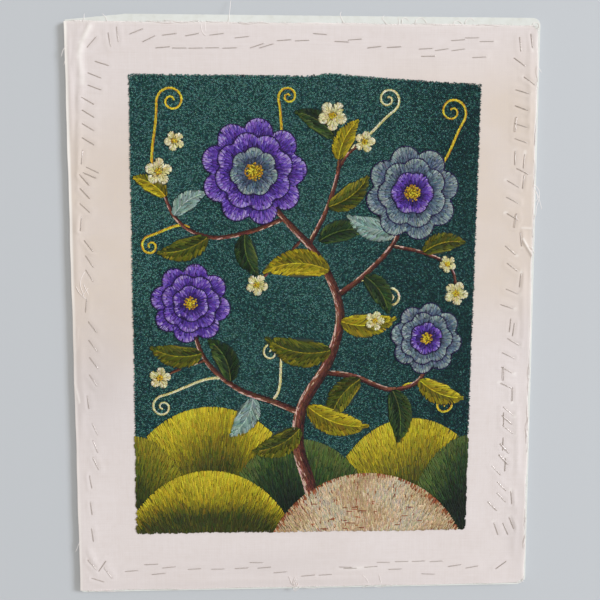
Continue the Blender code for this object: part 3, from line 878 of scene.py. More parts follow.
strands = [tube(smooth_path(places, THREAD_STEP), THREAD_RADIUS, 5, THREAD_TIP) for places in THREADS]
draw = np.random.default_rng(23)
fringe = []
for (x0, y0), (x1, y1), out, longest, stray_count, edge_threads, wave_size, phase in CUT_EDGES:
    length = math.hypot(x1 - x0, y1 - y0)
    first, out = np.array([x0, y0]), np.array(out, float)
    ahead = np.array([x1 - x0, y1 - y0]) / length
    for at in np.arange(1, length - 1, FRINGE_STEP):
        at += draw.uniform(-0.5, 0.5) * FRINGE_STEP
        patch = 0.5 + 0.5 * math.sin(at / 13 + 2 * math.sin(at / 31))
        reach = longest * (0.15 + 0.55 * patch * draw.random() + 0.3 * draw.random() ** 4)
        start = first + ahead * at - FRINGE_ROOT * out
        tip = start + (FRINGE_ROOT + reach) * (out + draw.normal(0, FRINGE_LEAN) * ahead)
        z = cloth_height(*start) - 0.2
        swell = draw.uniform(-0.1, 0.4)
        middle = (start + tip) / 2 + draw.normal(0, 0.15, 2)
        path = [(*start, z), (*middle, z + swell), (*tip, z + swell - 0.15)]
        fringe.append(tube(path, FRINGE_RADIUS, 3, FRINGE_TIP))
    for _ in range(stray_count):
        at, span = draw.uniform(5, length - 40), draw.uniform(*STRAY_SPAN)
        steps = np.linspace(0, span, max(4, int(span / 3)))
        off = 0.9 * draw.random()
        sway = 1.1 * np.sin(steps / draw.uniform(2.5, 6) + draw.uniform(0, 6))
        off = off + sway * draw.random()
        place = first + ahead * (at + steps)[:, None] + out * off[:, None]
        z = cloth_height(*place[0]) + 0.1 + 0.35 * draw.random(len(steps))
        path = smooth_path(np.column_stack([place, z]), STRAY_STEP)
        fringe.append(tube(path, STRAY_RADIUS, 3, THREAD_TIP))
    for off in edge_threads:
        at = np.arange(4, length - 4, EDGE_STEP)
        place = first + ahead * at[:, None]
        wander = wave_size * wave(place @ ahead, phase)
        place += out * (off + draw.normal(0, 0.07, len(at)) + wander)[:, None]
        z = [cloth_height(*spot) - EDGE_RADIUS for spot in place]
        fringe.append(tube(np.column_stack([place, z]), EDGE_RADIUS, 4))

thread_yarn, shader = new_material("cotton_thread", THREAD_COLOUR, 0.8)
fuzz = noise_at(place_in_mm(shader), 4, 3)
feed(shader, {"Base Color": tint(THREAD_SHADE, THREAD_COLOUR, fuzz)})
bump(shader, fuzz, 0.6, 0.08)
for name, shapes in (("loose_threads", strands), ("frayed_ends", fringe)):
    trim = add_object(name, joined_mesh(name, shapes), thread_yarn)
    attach(trim, "root")


# --- The stitched picture: its outline and its stitch ---
# The picture is a rectangle of close stitches in six-strand cotton floss. Each stitch is its own
# short arch of yarn: it comes up through the cloth, lies on its neighbours and goes down again.

YARN_PITCH = 0.82
YARN_WIDTH = 1.12
YARN_HEIGHT = 0.52
BED_TOP = 0.28
FIELD_PITCH = 1.5
FIELD_WAVE = 0.35
FIELD_RIPPLE = 0.5
CORNER_ROUND = 2.4
# x, y, anticlockwise from the lower left
FIELD_CORNERS = ((-151.5, -199.7), (146.4, -200.6), (153.6, 197.6), (-150.4, 204.4))
# The bump in the upper edge: shares of the way from right to left, and how far it strays there
FIELD_TOP_STRAY = ((0, 0.28, 0.44, 0.5, 1), (0, 2.8, 5.5, 2.8, 0))
# A stitch's cross-section: across in widths, up in heights
PROFILE = ((-0.5, 0), (-0.3, 0.86), (0.3, 0.86), (0.5, 0))
STITCH_RINGS = (0.12, 0.88)  # the shares along a stitch where its first and last rings stand
BAKE_GAP = 0.08
cloth_level = BOARD_TOP + CLOTH_LIFT + CLOTH_THICK + SLACK
bed_level = cloth_level + BED_TOP


def field_outline():
    """The stitched rectangle's uneven outline, anticlockwise from the lower left."""
    outline = []
    for side, (x0, y0) in enumerate(FIELD_CORNERS):
        x1, y1 = FIELD_CORNERS[(side + 1) % 4]
        length = math.hypot(x1 - x0, y1 - y0)
        out_x, out_y = (y1 - y0) / length, (x0 - x1) / length
        for share in np.arange(0, 1, FIELD_PITCH / length):
            along = share * length
            stray = FIELD_WAVE * wave(along, side + 0.5)
            stray += FIELD_RIPPLE * math.sin(along / 0.95 + 2 * math.sin(along / 4.3 + side))
            stray -= max(0, 1 - min(along, length - along) / CORNER_ROUND) ** 2
            if side == 2:
                stray += np.interp(share, *FIELD_TOP_STRAY)
            x = x0 + share * (x1 - x0) + stray * out_x
            y = y0 + share * (y1 - y0) + stray * out_y
            outline.append((x, y))
    return np.array(outline)


def inside(places, outline):
    """Which of these places lie inside an outline."""
    found = np.zeros(len(places), bool)
    x0, y0 = outline.T
    x1, y1 = np.roll(outline, -1, 0).T
    rise = np.where(y1 == y0, 1, y1 - y0)
    near = np.flatnonzero(((places >= outline.min(0)) & (places <= outline.max(0))).all(1))
    for some in np.array_split(near, 1 + len(near) // 9000):
        x, y = places[some, 0, None], places[some, 1, None]
        left_of = x < (x1 - x0) * (y - y0) / rise + x0
        found[some] = (((y0 > y) != (y1 > y)) & left_of).sum(1) % 2 == 1
    return found


def middles(stitches):
    return (stitches[:, 0:2] + stitches[:, 2:4]) / 2


def keep_within(stitches, outline, ragged=0, draw=None):
    """Drops stitches whose middle is outside an outline, and draws their ends in to it."""
    stitches = stitches[inside(middles(stitches), outline)].copy()
    middle = middles(stitches)
    for first in (0, 2):
        end = stitches[:, first : first + 2]
        over = np.flatnonzero(~inside(end, outline))
        reach = (end - middle)[over]
        low, high = np.zeros((len(over), 1)), np.ones((len(over), 1))
        for _ in range(5):
            half = (low + high) / 2
            within = inside(middle[over] + reach * half, outline)[:, None]
            low, high = np.where(within, half, low), np.where(within, high, half)
        if ragged:
            low = low + ragged * draw.random((len(over), 1))
        end[over] = middle[over] + reach * low
    return stitches


def uncovered(stitches, shapes):
    """The stitches whose middle no shape above them covers."""
    hidden = np.zeros(len(stitches), bool)
    for outline, _ in shapes:
        hidden |= inside(middles(stitches), outline)
    return stitches[~hidden]


def make_stitches(start, end, colour, draw, lift, width=YARN_WIDTH, height=YARN_HEIGHT):
    """One row for each stitch: its ends, width, height, lift over the bed and colour."""
    count = len(start)
    widths = width * draw.uniform(0.88, 1.1, count)
    heights = height * draw.uniform(0.88, 1.12, count)
    lifts = lift + draw.uniform(-0.06, 0.1, count)
    return np.column_stack([start, end, widths, heights, lifts, colour])


def shade(palette, share, draw, mixing=0.55):
    """A yarn for each stitch: the palette's colours from 0 to 1, mixed at their borders."""
    at = np.clip(share, 0, 1) * (len(palette) - 1) + draw.normal(0, mixing, len(share))
    colour = np.array(palette, float)[np.clip(np.rint(at), 0, len(palette) - 1).astype(int)]
    light = draw.uniform(0.9, 1.1, (len(share), 1))
    return np.clip(colour * light + draw.normal(0, 5, colour.shape), 0, 255)


# Twisted floss: fine slanted plies, as a height and as a shade from 0 to 1.
ply, given, made = add_group("floss_ply", {"Along": 0, "Around": 0, "Turn": 1.6}, ["Height", "Shade"])
phase = combine(combine(given["Along"], "DIVIDE", given["Turn"]), "ADD", given["Around"])
swing = combine(combine(phase, "MULTIPLY", 2 * math.pi), "SINE")
swing_share = combine(combine(swing, "MULTIPLY", 0.5), "ADD", 0.5)
feed(made, {"Height": combine(swing, "ABSOLUTE"), "Shade": swing_share})


def yarn_colour(shader, dark, share):
    """Each stitch's own colour, down to a share of its light where the other share is low."""
    yarn = painted(shader, "yarn")
    inputs = {0: 1, 6: yarn, 7: (dark, dark, dark, 1)}
    shaded = add_node(shader, "Mix", inputs, data_type="RGBA", blend_type="MULTIPLY")[2]
    feed(shader, {"Base Color": tint(shaded, yarn, share)})


def floss_material(name, turn, contrast, roughness):
    """Cotton floss: its colour comes with each stitch, and its plies shade and ridge it."""
    made, shader = new_material(name, (60, 90, 80), roughness)
    along, round_it, _ = along_axes(add_node(shader, "UVMap", {}, uv_map="strand")[0])
    inputs = {"Along": along, "Around": round_it, "Turn": turn}
    plies = add_node(shader, "Group", inputs, node_tree=ply)
    yarn_colour(shader, 1 - contrast, plies["Shade"])
    bump(shader, plies["Height"], 0.5, 0.08)
    feed(shader, {"Specular IOR Level": 0.22, "Sheen Weight": 0.03})
    return made


floss = floss_material("cotton_floss", 1.5, 0.3, 0.55)


def stitch_faces(rings, shares):
    """A stitch's faces: their corners, each corner's share along and around it, and their sides."""
    per_ring, tip = len(PROFILE), 1 + rings * len(PROFILE)
    corners, sides = [], []
    for ring in range(-1, rings):
        low, high = 1 + ring * per_ring, 1 + (ring + 1) * per_ring
        for j in range(per_ring):
            k, left, right = (j + 1) % per_ring, j / per_ring, (j + 1) / per_ring
            next_share = shares[(ring + 1) % rings]
            near = [(low + k, shares[ring], right), (low + j, shares[ring], left)]
            far = [(high + j, next_share, left), (high + k, next_share, right)]
            if ring < 0:
                face = [(0, 0, (left + right) / 2), *far]
            elif ring == rings - 1:
                face = [(tip, 1, (left + right) / 2), *near]
            else:
                face = [near[1], *far, near[0]]
            corners += face
            sides.append(len(face))
    return *np.array(corners).T, sides


def sew(name, stitches, rings=2, finish=floss):
    """One mesh of many stitches, each a closed arch of so many rings with a point at either end."""
    count = len(stitches)
    start, end = stitches[:, None, 0:2], stitches[:, None, 2:4]
    width, height, lift = (stitches[:, i, None, None] for i in (4, 5, 6))
    ahead = end - start
    length = np.hypot(ahead[..., 0], ahead[..., 1])
    side = aside(directions(ahead[:, 0]))[:, None]
    across, up = np.array(PROFILE).T
    shares = np.linspace(*STITCH_RINGS, rings) if rings > 1 else np.array([0.5])
    points = np.zeros((count, 2 + len(PROFILE) * rings, 3))
    points[:, 0, :2], points[:, -1, :2] = start[:, 0], end[:, 0]
    points[:, (0, -1), 2] = bed_level + 0.05 + 0.3 * stitches[:, 6, None]
    for k, at in enumerate(shares):
        middle = 1 - (2 * at - 1) ** 2
        ring = points[:, 1 + k * len(PROFILE) : 1 + (k + 1) * len(PROFILE)]
        taper = 0.86 + 0.14 * middle
        ring[..., :2] = start + ahead * at + side * (across[:, None] * width * taper)
        arch = lift[:, :, 0] * (0.75 + 0.25 * middle)
        ring[..., 2] = bed_level + arch + up * height[:, :, 0] * (0.8 + 0.2 * middle)
    each = points.shape[1]
    corners, cell_u, cell_v, sides = stitch_faces(rings, shares)
    all_corners = (corners + each * np.arange(count)[:, None]).ravel()
    mesh = smooth_mesh(name, points.reshape(-1, 3), all_corners, np.tile(sides, count))
    paint(mesh, "yarn", np.repeat(linear(stitches[:, 7:10]), each, 0))
    shift = np.random.default_rng(count).random((count, 1)) * 5
    strand = np.stack([cell_u * length + shift, np.tile(cell_v, (count, 1))], -1)
    # One cell of the map for each stitch, with a gap round it
    wide = math.ceil(math.sqrt(count))
    column, row = np.arange(count) % wide, np.arange(count) // wide
    inset_u, inset_v = (BAKE_GAP + (1 - 2 * BAKE_GAP) * cell for cell in (cell_u, cell_v))
    cells = np.stack([column[:, None] + inset_u, row[:, None] + inset_v], -1) / wide
    for layer, places in (("strand", strand), ("OFBake", cells)):
        mesh.uv_layers.new(name=layer)
        mesh.uv_layers[layer].data.foreach_set("uv", places.astype(np.float32).ravel())
    made = add_object(name, mesh, finish)
    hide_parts("stitched_field")
    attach(made, "root")


def within_field(parts, *ragged):
    """Many stitches as one table, without those that fall outside the picture."""
    return keep_within(np.vstack(parts), field, *ragged)


def tuck_under(parts, outline, colour, *layers):
    """Adds layers of stitches less what the shapes above cover, and then their shape to those."""
    parts.extend(uncovered(stitches, above) for stitches in layers)
    above.append((outline, colour))


field = field_outline()
above = []  # the outline and the colour of each shape made so far, which covers the later ones


# --- Flowers and blossoms ---
# Large open flowers in tiers of scalloped petals, in long and short stitch that fans out from the
# heart, with a dark outline round each tier. Small five-petalled blossoms are in cream.

PURPLE = ((44, 24, 88), (66, 38, 126), (92, 58, 164), (128, 96, 190), (172, 152, 212))
SLATE = ((50, 62, 86), (72, 88, 112), (98, 116, 134), (128, 146, 152), (160, 176, 172))
CREAM = ((206, 196, 120), (228, 218, 160), (238, 232, 200))
YELLOW = ((196, 140, 36), (222, 190, 40), (236, 222, 70))
OUTLINE_VIOLET = (36, 20, 74)
TIER_ROW = 3.7
TIER_DROP = 0.14
PETAL_LIFT = 0.66
OUTLINE_LIFT = 0.86
FLOWER_HEART = 0.17
HEART_KNOTS = 2.1
BLOSSOM_HEART = 0.26
BLOSSOM_NOTCH = 0.42
BLOSSOM_LIFT = 0.6
FLOWERS = (
    # x, y, radius, petals, turn, outer palette, inner palette
    (-44, 122, 46, 7, 0.2, PURPLE, SLATE),
    (94, 104, 41, 6, 0.5, SLATE, PURPLE),
    (-100, 8, 35, 6, 0.1, PURPLE, PURPLE),
    (108, -24, 32, 6, 0.9, SLATE, PURPLE),
)
# Outer share of the radius, depth of the notches, uses the outer palette
FLOWER_TIERS = ((0.46, 0.16, False), (0.74, 0.18, True), (1, 0.22, True))
BLOSSOMS = (
    # x, y, radius, turn
    (24, 170, 13, 0.3), (-126, 122, 12, 0.9), (-112, 148, 9, 0.1), (134, 16, 11, 0.5),
    (126, 42, 8, 0.2), (52, 148, 9.5, 0.7), (-42, 24, 10, 0.4), (-128, -58, 10, 0.8), (62, -8, 9, 0.6),
)


def around(x, y, reach, angle):
    """Places round a middle."""
    return (x, y) + reach[:, None] * unit(angle)


def petal_radius(angle, radius, petals, turn, notch):
    """The outline of a ring of round petals with notches between them."""
    return radius * (1 - notch * (1 - np.abs(np.sin(petals * (angle - turn) / 2)) ** 0.6))


def petal_outline(x, y, *shape):
    angle = np.arange(120) / 120 * 2 * math.pi
    return around(x, y, petal_radius(angle, *shape), angle)


def petal_ring(x, y, inner, outer, petals, turn, notch, palette, draw, lift, row=TIER_ROW):
    """Long and short stitches that fan out over one ring of petals."""
    found = []
    for reach in np.arange(inner - row * 0.2, outer + row * 0.5, row * 0.84):
        if reach < 0.6:
            continue
        count = max(5, int(2 * math.pi * reach / YARN_PITCH))
        angle = (np.arange(count) + draw.random(count) * 0.4) / count * 2 * math.pi
        middle = reach + row * draw.uniform(-0.35, 0.35, count)
        each = 2 * math.pi / petals
        off = ((angle - turn) % each) / each - 0.5
        half = row * draw.uniform(0.52, 0.68, count)
        place = around(x, y, middle, angle)
        step = unit(angle + 0.55 * off * each) * half[:, None]
        edge = petal_radius(angle, outer, petals, turn, notch)
        share = (middle - inner) / np.maximum(edge - inner, 1)
        light = share * 0.95 + 0.25 * off - 0.5 * np.maximum(0, np.abs(off) * 2 - 0.72)
        colour = shade(palette, light, draw)
        found.append(make_stitches(place - step, place + step, colour, draw, lift))
    return keep_within(np.vstack(found), petal_outline(x, y, outer, petals, turn, notch))


def stem_stitches(path, widths, palette, draw, lift, stitch=4.6):
    """Rows of stitches laid along a line, which widens or narrows from its start to its end."""
    line = walk(path, 1)
    out = aside(directions(np.gradient(line, axis=0)))
    run, full = np.arange(len(line)), len(line) - 1
    rows_across = max(1, round(max(widths) / YARN_PITCH))
    found = []
    for row in range(rows_across):
        across = (row + 0.5) / rows_across - 0.5
        begins = np.arange(-stitch * (0.45 * row % 1), full - 0.3 * stitch, stitch * 0.82)
        begins = begins + draw.uniform(-0.3, 0.3, len(begins))
        ends = np.minimum(begins + stitch * draw.uniform(0.9, 1.15, len(begins)), full)
        begins = np.maximum(begins, 0)
        sides = []
        for at, slant in ((begins, -0.28), (ends, 0.28)):
            wide = widths[0] + (widths[1] - widths[0]) * at / max(full, 1)
            place, away = (
                np.column_stack([np.interp(at, run, i) for i in way.T]) for way in (line, out)
            )
            sides.append(place + away * (across * wide + slant * YARN_PITCH)[:, None])
        here = widths[0] + (widths[1] - widths[0]) * begins / max(full, 1)
        wanted = here / YARN_PITCH >= abs(row - (rows_across - 1) / 2) * 0.9
        colour = shade(palette, np.full(len(begins), (row + 0.5) / rows_across), draw, 0.45)
        stitches = make_stitches(*sides, colour, draw, lift)
        stitches[:, 4] *= np.clip(here / (rows_across * YARN_PITCH) + 0.35, 0.7, 1)
        found.append(stitches[wanted])
    return np.vstack(found)


def band_outline(path, widths):
    """The outline of a line of stitches."""
    line = walk(path, 3)
    half = np.linspace(*widths, len(line))[:, None] / 2
    out = aside(directions(np.gradient(line, axis=0))) * half
    return np.vstack([line + out, (line - out)[::-1]])


draw = np.random.default_rng(101)
flower_parts, blossom_parts = [], []
for x, y, radius, petals, turn, outer, inner in FLOWERS:
    heart = radius * FLOWER_HEART
    count = int(heart**2 * HEART_KNOTS)
    spin, reach = draw.random(count) * 2 * math.pi, heart * np.sqrt(draw.random(count))
    place, knot = around(x, y, reach, spin), 0.75 * unit(spin * 7)
    seeds = shade(YELLOW, 1 - reach / heart, draw)
    flower_parts.append(make_stitches(place - knot, place + knot, seeds, draw, 0.75, 1.2, 0.8))
    above.append((petal_outline(x, y, heart, 9, 0, 0.1), YELLOW[1]))
    begin = heart
    for tier, (share, notch, is_outer) in enumerate(FLOWER_TIERS):
        palette = outer if is_outer else inner
        shape = (radius * share, petals + tier, turn + 0.45 * tier, notch)
        drop = TIER_DROP * tier
        ring = petal_ring(x, y, begin, *shape, palette, draw, PETAL_LIFT - drop)
        edge = petal_outline(x, y, *shape)
        round_edge = np.vstack([edge, edge[:1]])
        lines = stem_stitches(round_edge, (1, 1), [OUTLINE_VIOLET], draw, OUTLINE_LIFT - drop, 3.2)
        flower_parts.append(uncovered(ring, above))
        flower_parts.append(uncovered(lines, above[:-1]) if tier else lines)
        above.append((edge, palette[2]))
        begin = radius * share * (1 - notch) - 1.5
for x, y, radius, turn in BLOSSOMS:
    heart = radius * BLOSSOM_HEART
    spin = np.linspace(0, 2 * math.pi, int(heart * 9), endpoint=False)
    reach = heart * np.sqrt(draw.random(len(spin)))
    place, knot = around(x, y, reach, spin), 0.7 * unit(spin * 5)
    seeds = shade(YELLOW, draw.random(len(spin)), draw)
    blossom_parts.append(make_stitches(place - knot, place + knot, seeds, draw, 0.8, 1.1, 0.75))
    above.append((petal_outline(x, y, heart, 5, 0, 0), YELLOW[1]))
    shape = (radius, 5, turn, BLOSSOM_NOTCH)
    ring = petal_ring(x, y, heart, *shape, CREAM, draw, BLOSSOM_LIFT, 3.4)
    tuck_under(blossom_parts, petal_outline(x, y, *shape), CREAM[1], ring)
sew("flower_stitches", within_field(flower_parts))
sew("blossom_stitches", within_field(blossom_parts))


# --- Leaves ---
# Pointed leaves in slanted satin stitch. The two halves are shaded apart, each from the light rim
# to the dark midrib, and a thin line of pale stitches makes the vein.

MUSTARD = ((84, 80, 12), (120, 110, 14), (154, 138, 18), (184, 164, 26), (206, 188, 40))
OLIVE = ((36, 46, 14), (56, 66, 16), (82, 88, 18), (112, 110, 22), (144, 134, 30))
MOSS = ((12, 28, 16), (22, 42, 22), (36, 60, 28), (58, 80, 34), (86, 104, 46))
PALE = ((104, 134, 128), (128, 156, 148), (152, 178, 168), (178, 198, 186))
LEAF_LEAN = math.radians(38)
LEAF_LIFT = 0.38
VEIN_LIFT = 0.62
LONGEST_STITCH = 7
LEAVES = (
    # x, y, angle, length, half width, bend, palette
    (-4, -104, 205, 50, 12, 6, OLIVE), (2, -84, -18, 60, 12.5, -7, MUSTARD),
    (-46, -76, 238, 42, 10.5, 5, PALE), (-66, -62, 118, 44, 11, -6, MOSS),
    (24, -34, 168, 62, 13.5, 8, OLIVE), (31, -8, 4, 52, 11, -6, MUSTARD),
    (22, 36, 182, 60, 13, -8, MUSTARD), (52, 32, -58, 42, 10, 5, MOSS),
    (84, 72, 164, 50, 10.5, 6, PALE), (20, 92, 38, 46, 10.5, -5, OLIVE),
    (29, 132, 62, 40, 9, 4, MUSTARD), (27, 150, 148, 44, 9.5, -5, MOSS),
    (-52, 69, -72, 40, 10, -5, MOSS), (-84, 66, 196, 48, 10.5, 5, OLIVE),
    (-114, 84, 34, 36, 8.5, 4, PALE), (-120, 100, 150, 34, 8.5, -4, MUSTARD),
    (78, -70, -84, 50, 11.5, 5, MOSS), (50, -60, 236, 50, 11.5, -6, OLIVE),
    (102, -61, -22, 46, 10.5, -5, MUSTARD), (104, 52, 12, 40, 9.5, 5, OLIVE),
    (-90, -36, 172, 48, 11, 6, OLIVE), (12, 62, 12, 46, 10, 5, MOSS),
)


def leaf_frame(x, y, angle, length, _, bend, at):
    """Places on a leaf's midrib, and the way it runs there."""
    along = unit([math.radians(angle)])
    at = at[:, None]
    place = (x, y) + along * length * at + aside(along) * bend * 4 * at * (1 - at)
    ahead = along * length + aside(along) * bend * 4 * (1 - 2 * at)
    return place, directions(ahead)


def leaf_half_width(at, half_width):
    return half_width * np.sin(math.pi * np.clip(at, 0, 1) ** 0.78) ** 0.85


def leaf_outline(*shape):
    at = np.linspace(0, 1, 36)
    place, ahead = leaf_frame(*shape, at)
    out = aside(ahead) * leaf_half_width(at, shape[4])[:, None]
    return np.vstack([place + out, (place - out)[-2:0:-1]])


def turned(ways, turn):
    """Directions turned anticlockwise."""
    (x, y), cos, sin = ways.T, math.cos(turn), math.sin(turn)
    return np.stack([x * cos - y * sin, x * sin + y * cos], -1)


def leaf_stitches(shape, palette, draw, lift):
    """Slanted stitches from the midrib out, each half in one to three pieces."""
    found = []
    at = np.arange(-0.06, 1, YARN_PITCH / math.sin(LEAF_LEAN) / shape[3])
    root, ahead = leaf_frame(*shape, at)
    whole = leaf_half_width(at + 0.16, shape[4]) / math.sin(LEAF_LEAN) + 3
    pieces = np.maximum(1, np.ceil(whole / LONGEST_STITCH)).astype(int)
    for side in (-1, 1):
        way = turned(ahead, LEAF_LEAN * side)
        for part in range(3):
            begin = part / pieces + (draw.uniform(-0.14, 0.14, len(at)) if part else 0)
            more = np.where(part + 1 < pieces, draw.uniform(-0.05, 0.2, len(at)), 0)
            begin, end = np.clip(begin, 0, 1), np.clip((part + 1) / pieces + more, 0, 1)
            light = 0.2 + 0.75 * (begin + end) / 2 + 0.12 * side
            colour = shade(palette, light, draw, 0.4)
            ends = [root + way * (whole * share)[:, None] for share in (begin, end)]
            found.append(make_stitches(*ends, colour, draw, lift)[pieces > part])
    return keep_within(np.vstack(found), leaf_outline(*shape))


draw = np.random.default_rng(202)
leaf_parts = []
for *shape, palette in LEAVES:
    vein, _ = leaf_frame(*shape, np.linspace(0.02, 0.86, 24))
    line = stem_stitches(vein, (1, 1), [palette[-1]], draw, VEIN_LIFT, 4.2)
    halves = leaf_stitches(shape, palette, draw, LEAF_LIFT)
    tuck_under(leaf_parts, leaf_outline(*shape), palette[2], line, halves)
sew("leaf_stitches", within_field(leaf_parts))


# --- Front hillocks ---
# Low rounded hillocks overlap along the foot, in long grass-like stitches from a yellow rim down
# to dark green. One is bare earth: fine upright tan stitches with short rust dashes over them.

EARTH = ((188, 158, 118), (208, 180, 140), (222, 198, 162), (198, 186, 160))
RUST = ((146, 80, 48), (168, 98, 60))
GRASS = ((56, 62, 18), (84, 84, 18), (118, 108, 18), (150, 136, 20), (182, 164, 28), (206, 188, 42))
GRASS_ROW = 5.4
EARTH_ROW = 0.62 * GRASS_ROW
GRASS_WIDTH = 1.32
EARTH_DASHES = 26
DASH_LIFT = 0.5
FRONT_LIFT = 0.16
NEXT_DROP = 0.03
FOOT = -200
FOOT_HEIGHT = 30
FOOT_SHADE = 0.8
FRONT_HILLOCKS = (
    # x, y of the middle, half width, height, palette, from the front to the back
    (56, -262, 98, 116, EARTH),
    (-86, -264, 88, 122, GRASS),
)


def hillock_outline(x, y, half_width, height):
    turn = np.linspace(0, math.pi, 60)
    return np.column_stack([x + half_width * np.cos(turn), y + height * np.sin(turn) ** 0.9])


def hillock_stitches(shape, palette, draw, lift):
    """Long upright stitches that lean outwards, row over row."""
    x, y, half_width, height = shape
    row = EARTH_ROW if palette is EARTH else GRASS_ROW
    found = []
    for share in np.arange(1 + 0.3 * row / height, 0.05, -row * 0.8 / height):
        across = np.arange(-1, 1, YARN_PITCH / half_width)
        count = len(across)
        across = across + draw.uniform(-0.3, 0.3, count) * YARN_PITCH / half_width
        bow = np.sqrt(np.maximum(0, 1 - across**2)) ** 0.9
        base = y + height * share * bow + draw.uniform(-0.28, 0.28, count) * row
        place = np.column_stack([x + half_width * across * (0.35 + 0.65 * share), base])
        lean = math.pi / 2 - across * 0.7 + draw.normal(0, 0.1, count)
        step = unit(lean) * (row * draw.uniform(0.56, 0.78, count))[:, None]
        depth = height * (bow - share * bow)
        if palette is EARTH:
            light = 0.5 + 0.4 * np.sin(place[:, 0] / 11 + np.sin(place[:, 1] / 7))
            colour = shade(EARTH, light, draw, 0.8)
            dash = draw.random(count) < np.where(depth < 4, 0.55, 0.03)
            colour[dash] = shade(RUST, draw.random(int(dash.sum())), draw)
        else:
            light = 1.02 - depth / 62 + 0.1 * np.sin(place[:, 0] / 13 + x)
            light -= FOOT_SHADE * fade(place[:, 1] - FOOT, FOOT_HEIGHT)
            colour = shade(palette, light, draw, 0.42)
        found.append(make_stitches(place - step, place + step, colour, draw, lift, GRASS_WIDTH))
    return keep_within(np.vstack(found), hillock_outline(*shape), 0.12, draw)


def sew_hillocks(name, hillocks, draw, lift):
    """Hillocks from the front to the back, each under those before it."""
    parts = []
    for *shape, palette in hillocks:
        outline = hillock_outline(*shape)
        if palette is EARTH:
            count = EARTH_DASHES
            x = shape[0] + draw.uniform(-50, 50, count)
            place = np.column_stack([x, draw.uniform(-198, -172, count)])
            dash = np.column_stack([draw.uniform(1.6, 3.2, count), draw.normal(0, 0.2, count)])
            colour = shade(RUST, draw.random(count), draw)
            dashes = make_stitches(place - dash, place + dash, colour, draw, DASH_LIFT)
            parts.append(uncovered(keep_within(dashes, outline), above))
        tuck_under(parts, outline, palette[3], hillock_stitches(shape, palette, draw, lift))
        lift -= NEXT_DROP
    sew(name, within_field(parts, 0.1, draw))


sew_hillocks("front_hillock_stitches", FRONT_HILLOCKS, np.random.default_rng(404), FRONT_LIFT)


# --- Branches and tendrils ---
# One bending stem with side branches, in close rows of stem stitch: dark brown below, lighter
# above, and a pale pink line along the lit side. Thin curled tendrils are in yellow and cream.

BARK = ((50, 24, 24), (74, 36, 30), (100, 52, 40), (132, 78, 58), (218, 180, 164))
BRANCHES = (
    # width at the start, width at the end, places
    (12.5, 4, (
        (14, -196), (4, -156), (-6, -120), (-2, -84), (22, -42), (31, 2), (12, 48), (-20, 84),
        (-42, 112),
    )),
    (5.5, 3, ((-1, -92), (-28, -80), (-60, -68), (-88, -42), (-100, -8))),
    (5, 3, ((16, -54), (44, -58), (76, -70), (102, -62), (112, -36))),
    (5, 3, ((28, 14), (52, 32), (78, 60), (90, 92))),
    (4, 2.4, ((4, 60), (20, 92), (30, 130), (25, 164))),
    (4, 2.2, ((-18, 82), (-50, 70), (-84, 66), (-112, 82), (-126, 118))),
    (3, 2, ((76, 58), (104, 52), (128, 40), (135, 18))),
    (2.6, 1.8, ((28, 122), (38, 138), (52, 147))),
    (2.6, 1.8, ((-2, 64), (-22, 44), (-42, 26))),
    (2.6, 1.8, ((-88, -42), (-110, -50), (-127, -57))),
    (2.6, 1.8, ((31, -6), (48, -6), (61, -8))),
)
TENDRILS = (
    # x, y of its root and of the curl's eye, radius, turns (below 0: clockwise), palette
    (-122, 104, -114, 182, 13, -1.5, YELLOW), (29, 142, 72, 184, 11, 1.5, CREAM),
    (108, 122, 128, 174, 13, 1.5, YELLOW), (-30, -79, -30, -36, 10, 1.5, CREAM),
    (88, -67, 124, -84, 10, -1.4, YELLOW), (-66, -62, -126, -84, 10, 1.5, CREAM),
    (-100, 74, -134, 58, 9, 1.4, YELLOW), (-10, 138, -14, 186, 9, -1.5, YELLOW),
    (44, 26, 76, 12, 9, -1.5, CREAM),
)
LEAD_SWING = 0.8
STEM_LIFT = 0.3

draw = np.random.default_rng(303)
stem_parts, tendril_parts = [], []
for first, last, places in BRANCHES:
    path = smooth_path(places, 1.5)
    line = stem_stitches(path, (first, last), BARK, draw, STEM_LIFT)
    tuck_under(stem_parts, band_outline(path, (first, last)), BARK[1], line)
for x, y, eye_x, eye_y, radius, turns_made, palette in TENDRILS:
    hand = math.copysign(1, turns_made)
    away = math.hypot(x - eye_x, y - eye_y)
    begin = math.atan2(y - eye_y, x - eye_x) + hand * math.acos(min(1, radius / away))
    share = np.linspace(0, 1, 60)
    reach = radius * (1 - 0.84 * share**0.85)
    curl = around(eye_x, eye_y, reach, begin + 2 * math.pi * turns_made * share)
    lead = curl[0] - (x, y)
    leave = turned(lead, -hand * LEAD_SWING)
    t = np.linspace(0, 1, 16, endpoint=False)[:, None]
    path = np.vstack([(x, y) + leave * (t - 2 * t**2 + t**3) + lead * (2 * t**2 - t**3), curl])
    line = stem_stitches(path, (2.2, 1.2), palette, draw, STEM_LIFT, 3.2)
    tuck_under(tendril_parts, band_outline(path, (1.6, 0.9)), palette[1], line)
sew("branch_stitches", within_field(stem_parts))
sew("tendril_stitches", within_field(tendril_parts))


# --- Back hillocks ---
# Five more hillocks in the same grass-like stitches, in moss, olive and grass greens. They are sewn
# after the other motifs, so the stem, the leaves and the front hillocks all cover them.

BACK_LIFT = 0.1
BACK_HILLOCKS = (
    (150, -250, 64, 138, MOSS),
    (-152, -244, 60, 134, OLIVE),
    (-6, -244, 80, 130, MOSS),
    (96, -228, 84, 132, GRASS),
    (-84, -220, 92, 136, GRASS),
)
sew_hillocks("back_hillock_stitches", BACK_HILLOCKS, np.random.default_rng(405), BACK_LIFT)


# --- Teal ground ---
# Everything round the motifs is filled with short seed-like stitches in two twisted teals, in level
# rows that wander a little, so that the ground looks finely mottled. It darkens towards the right.

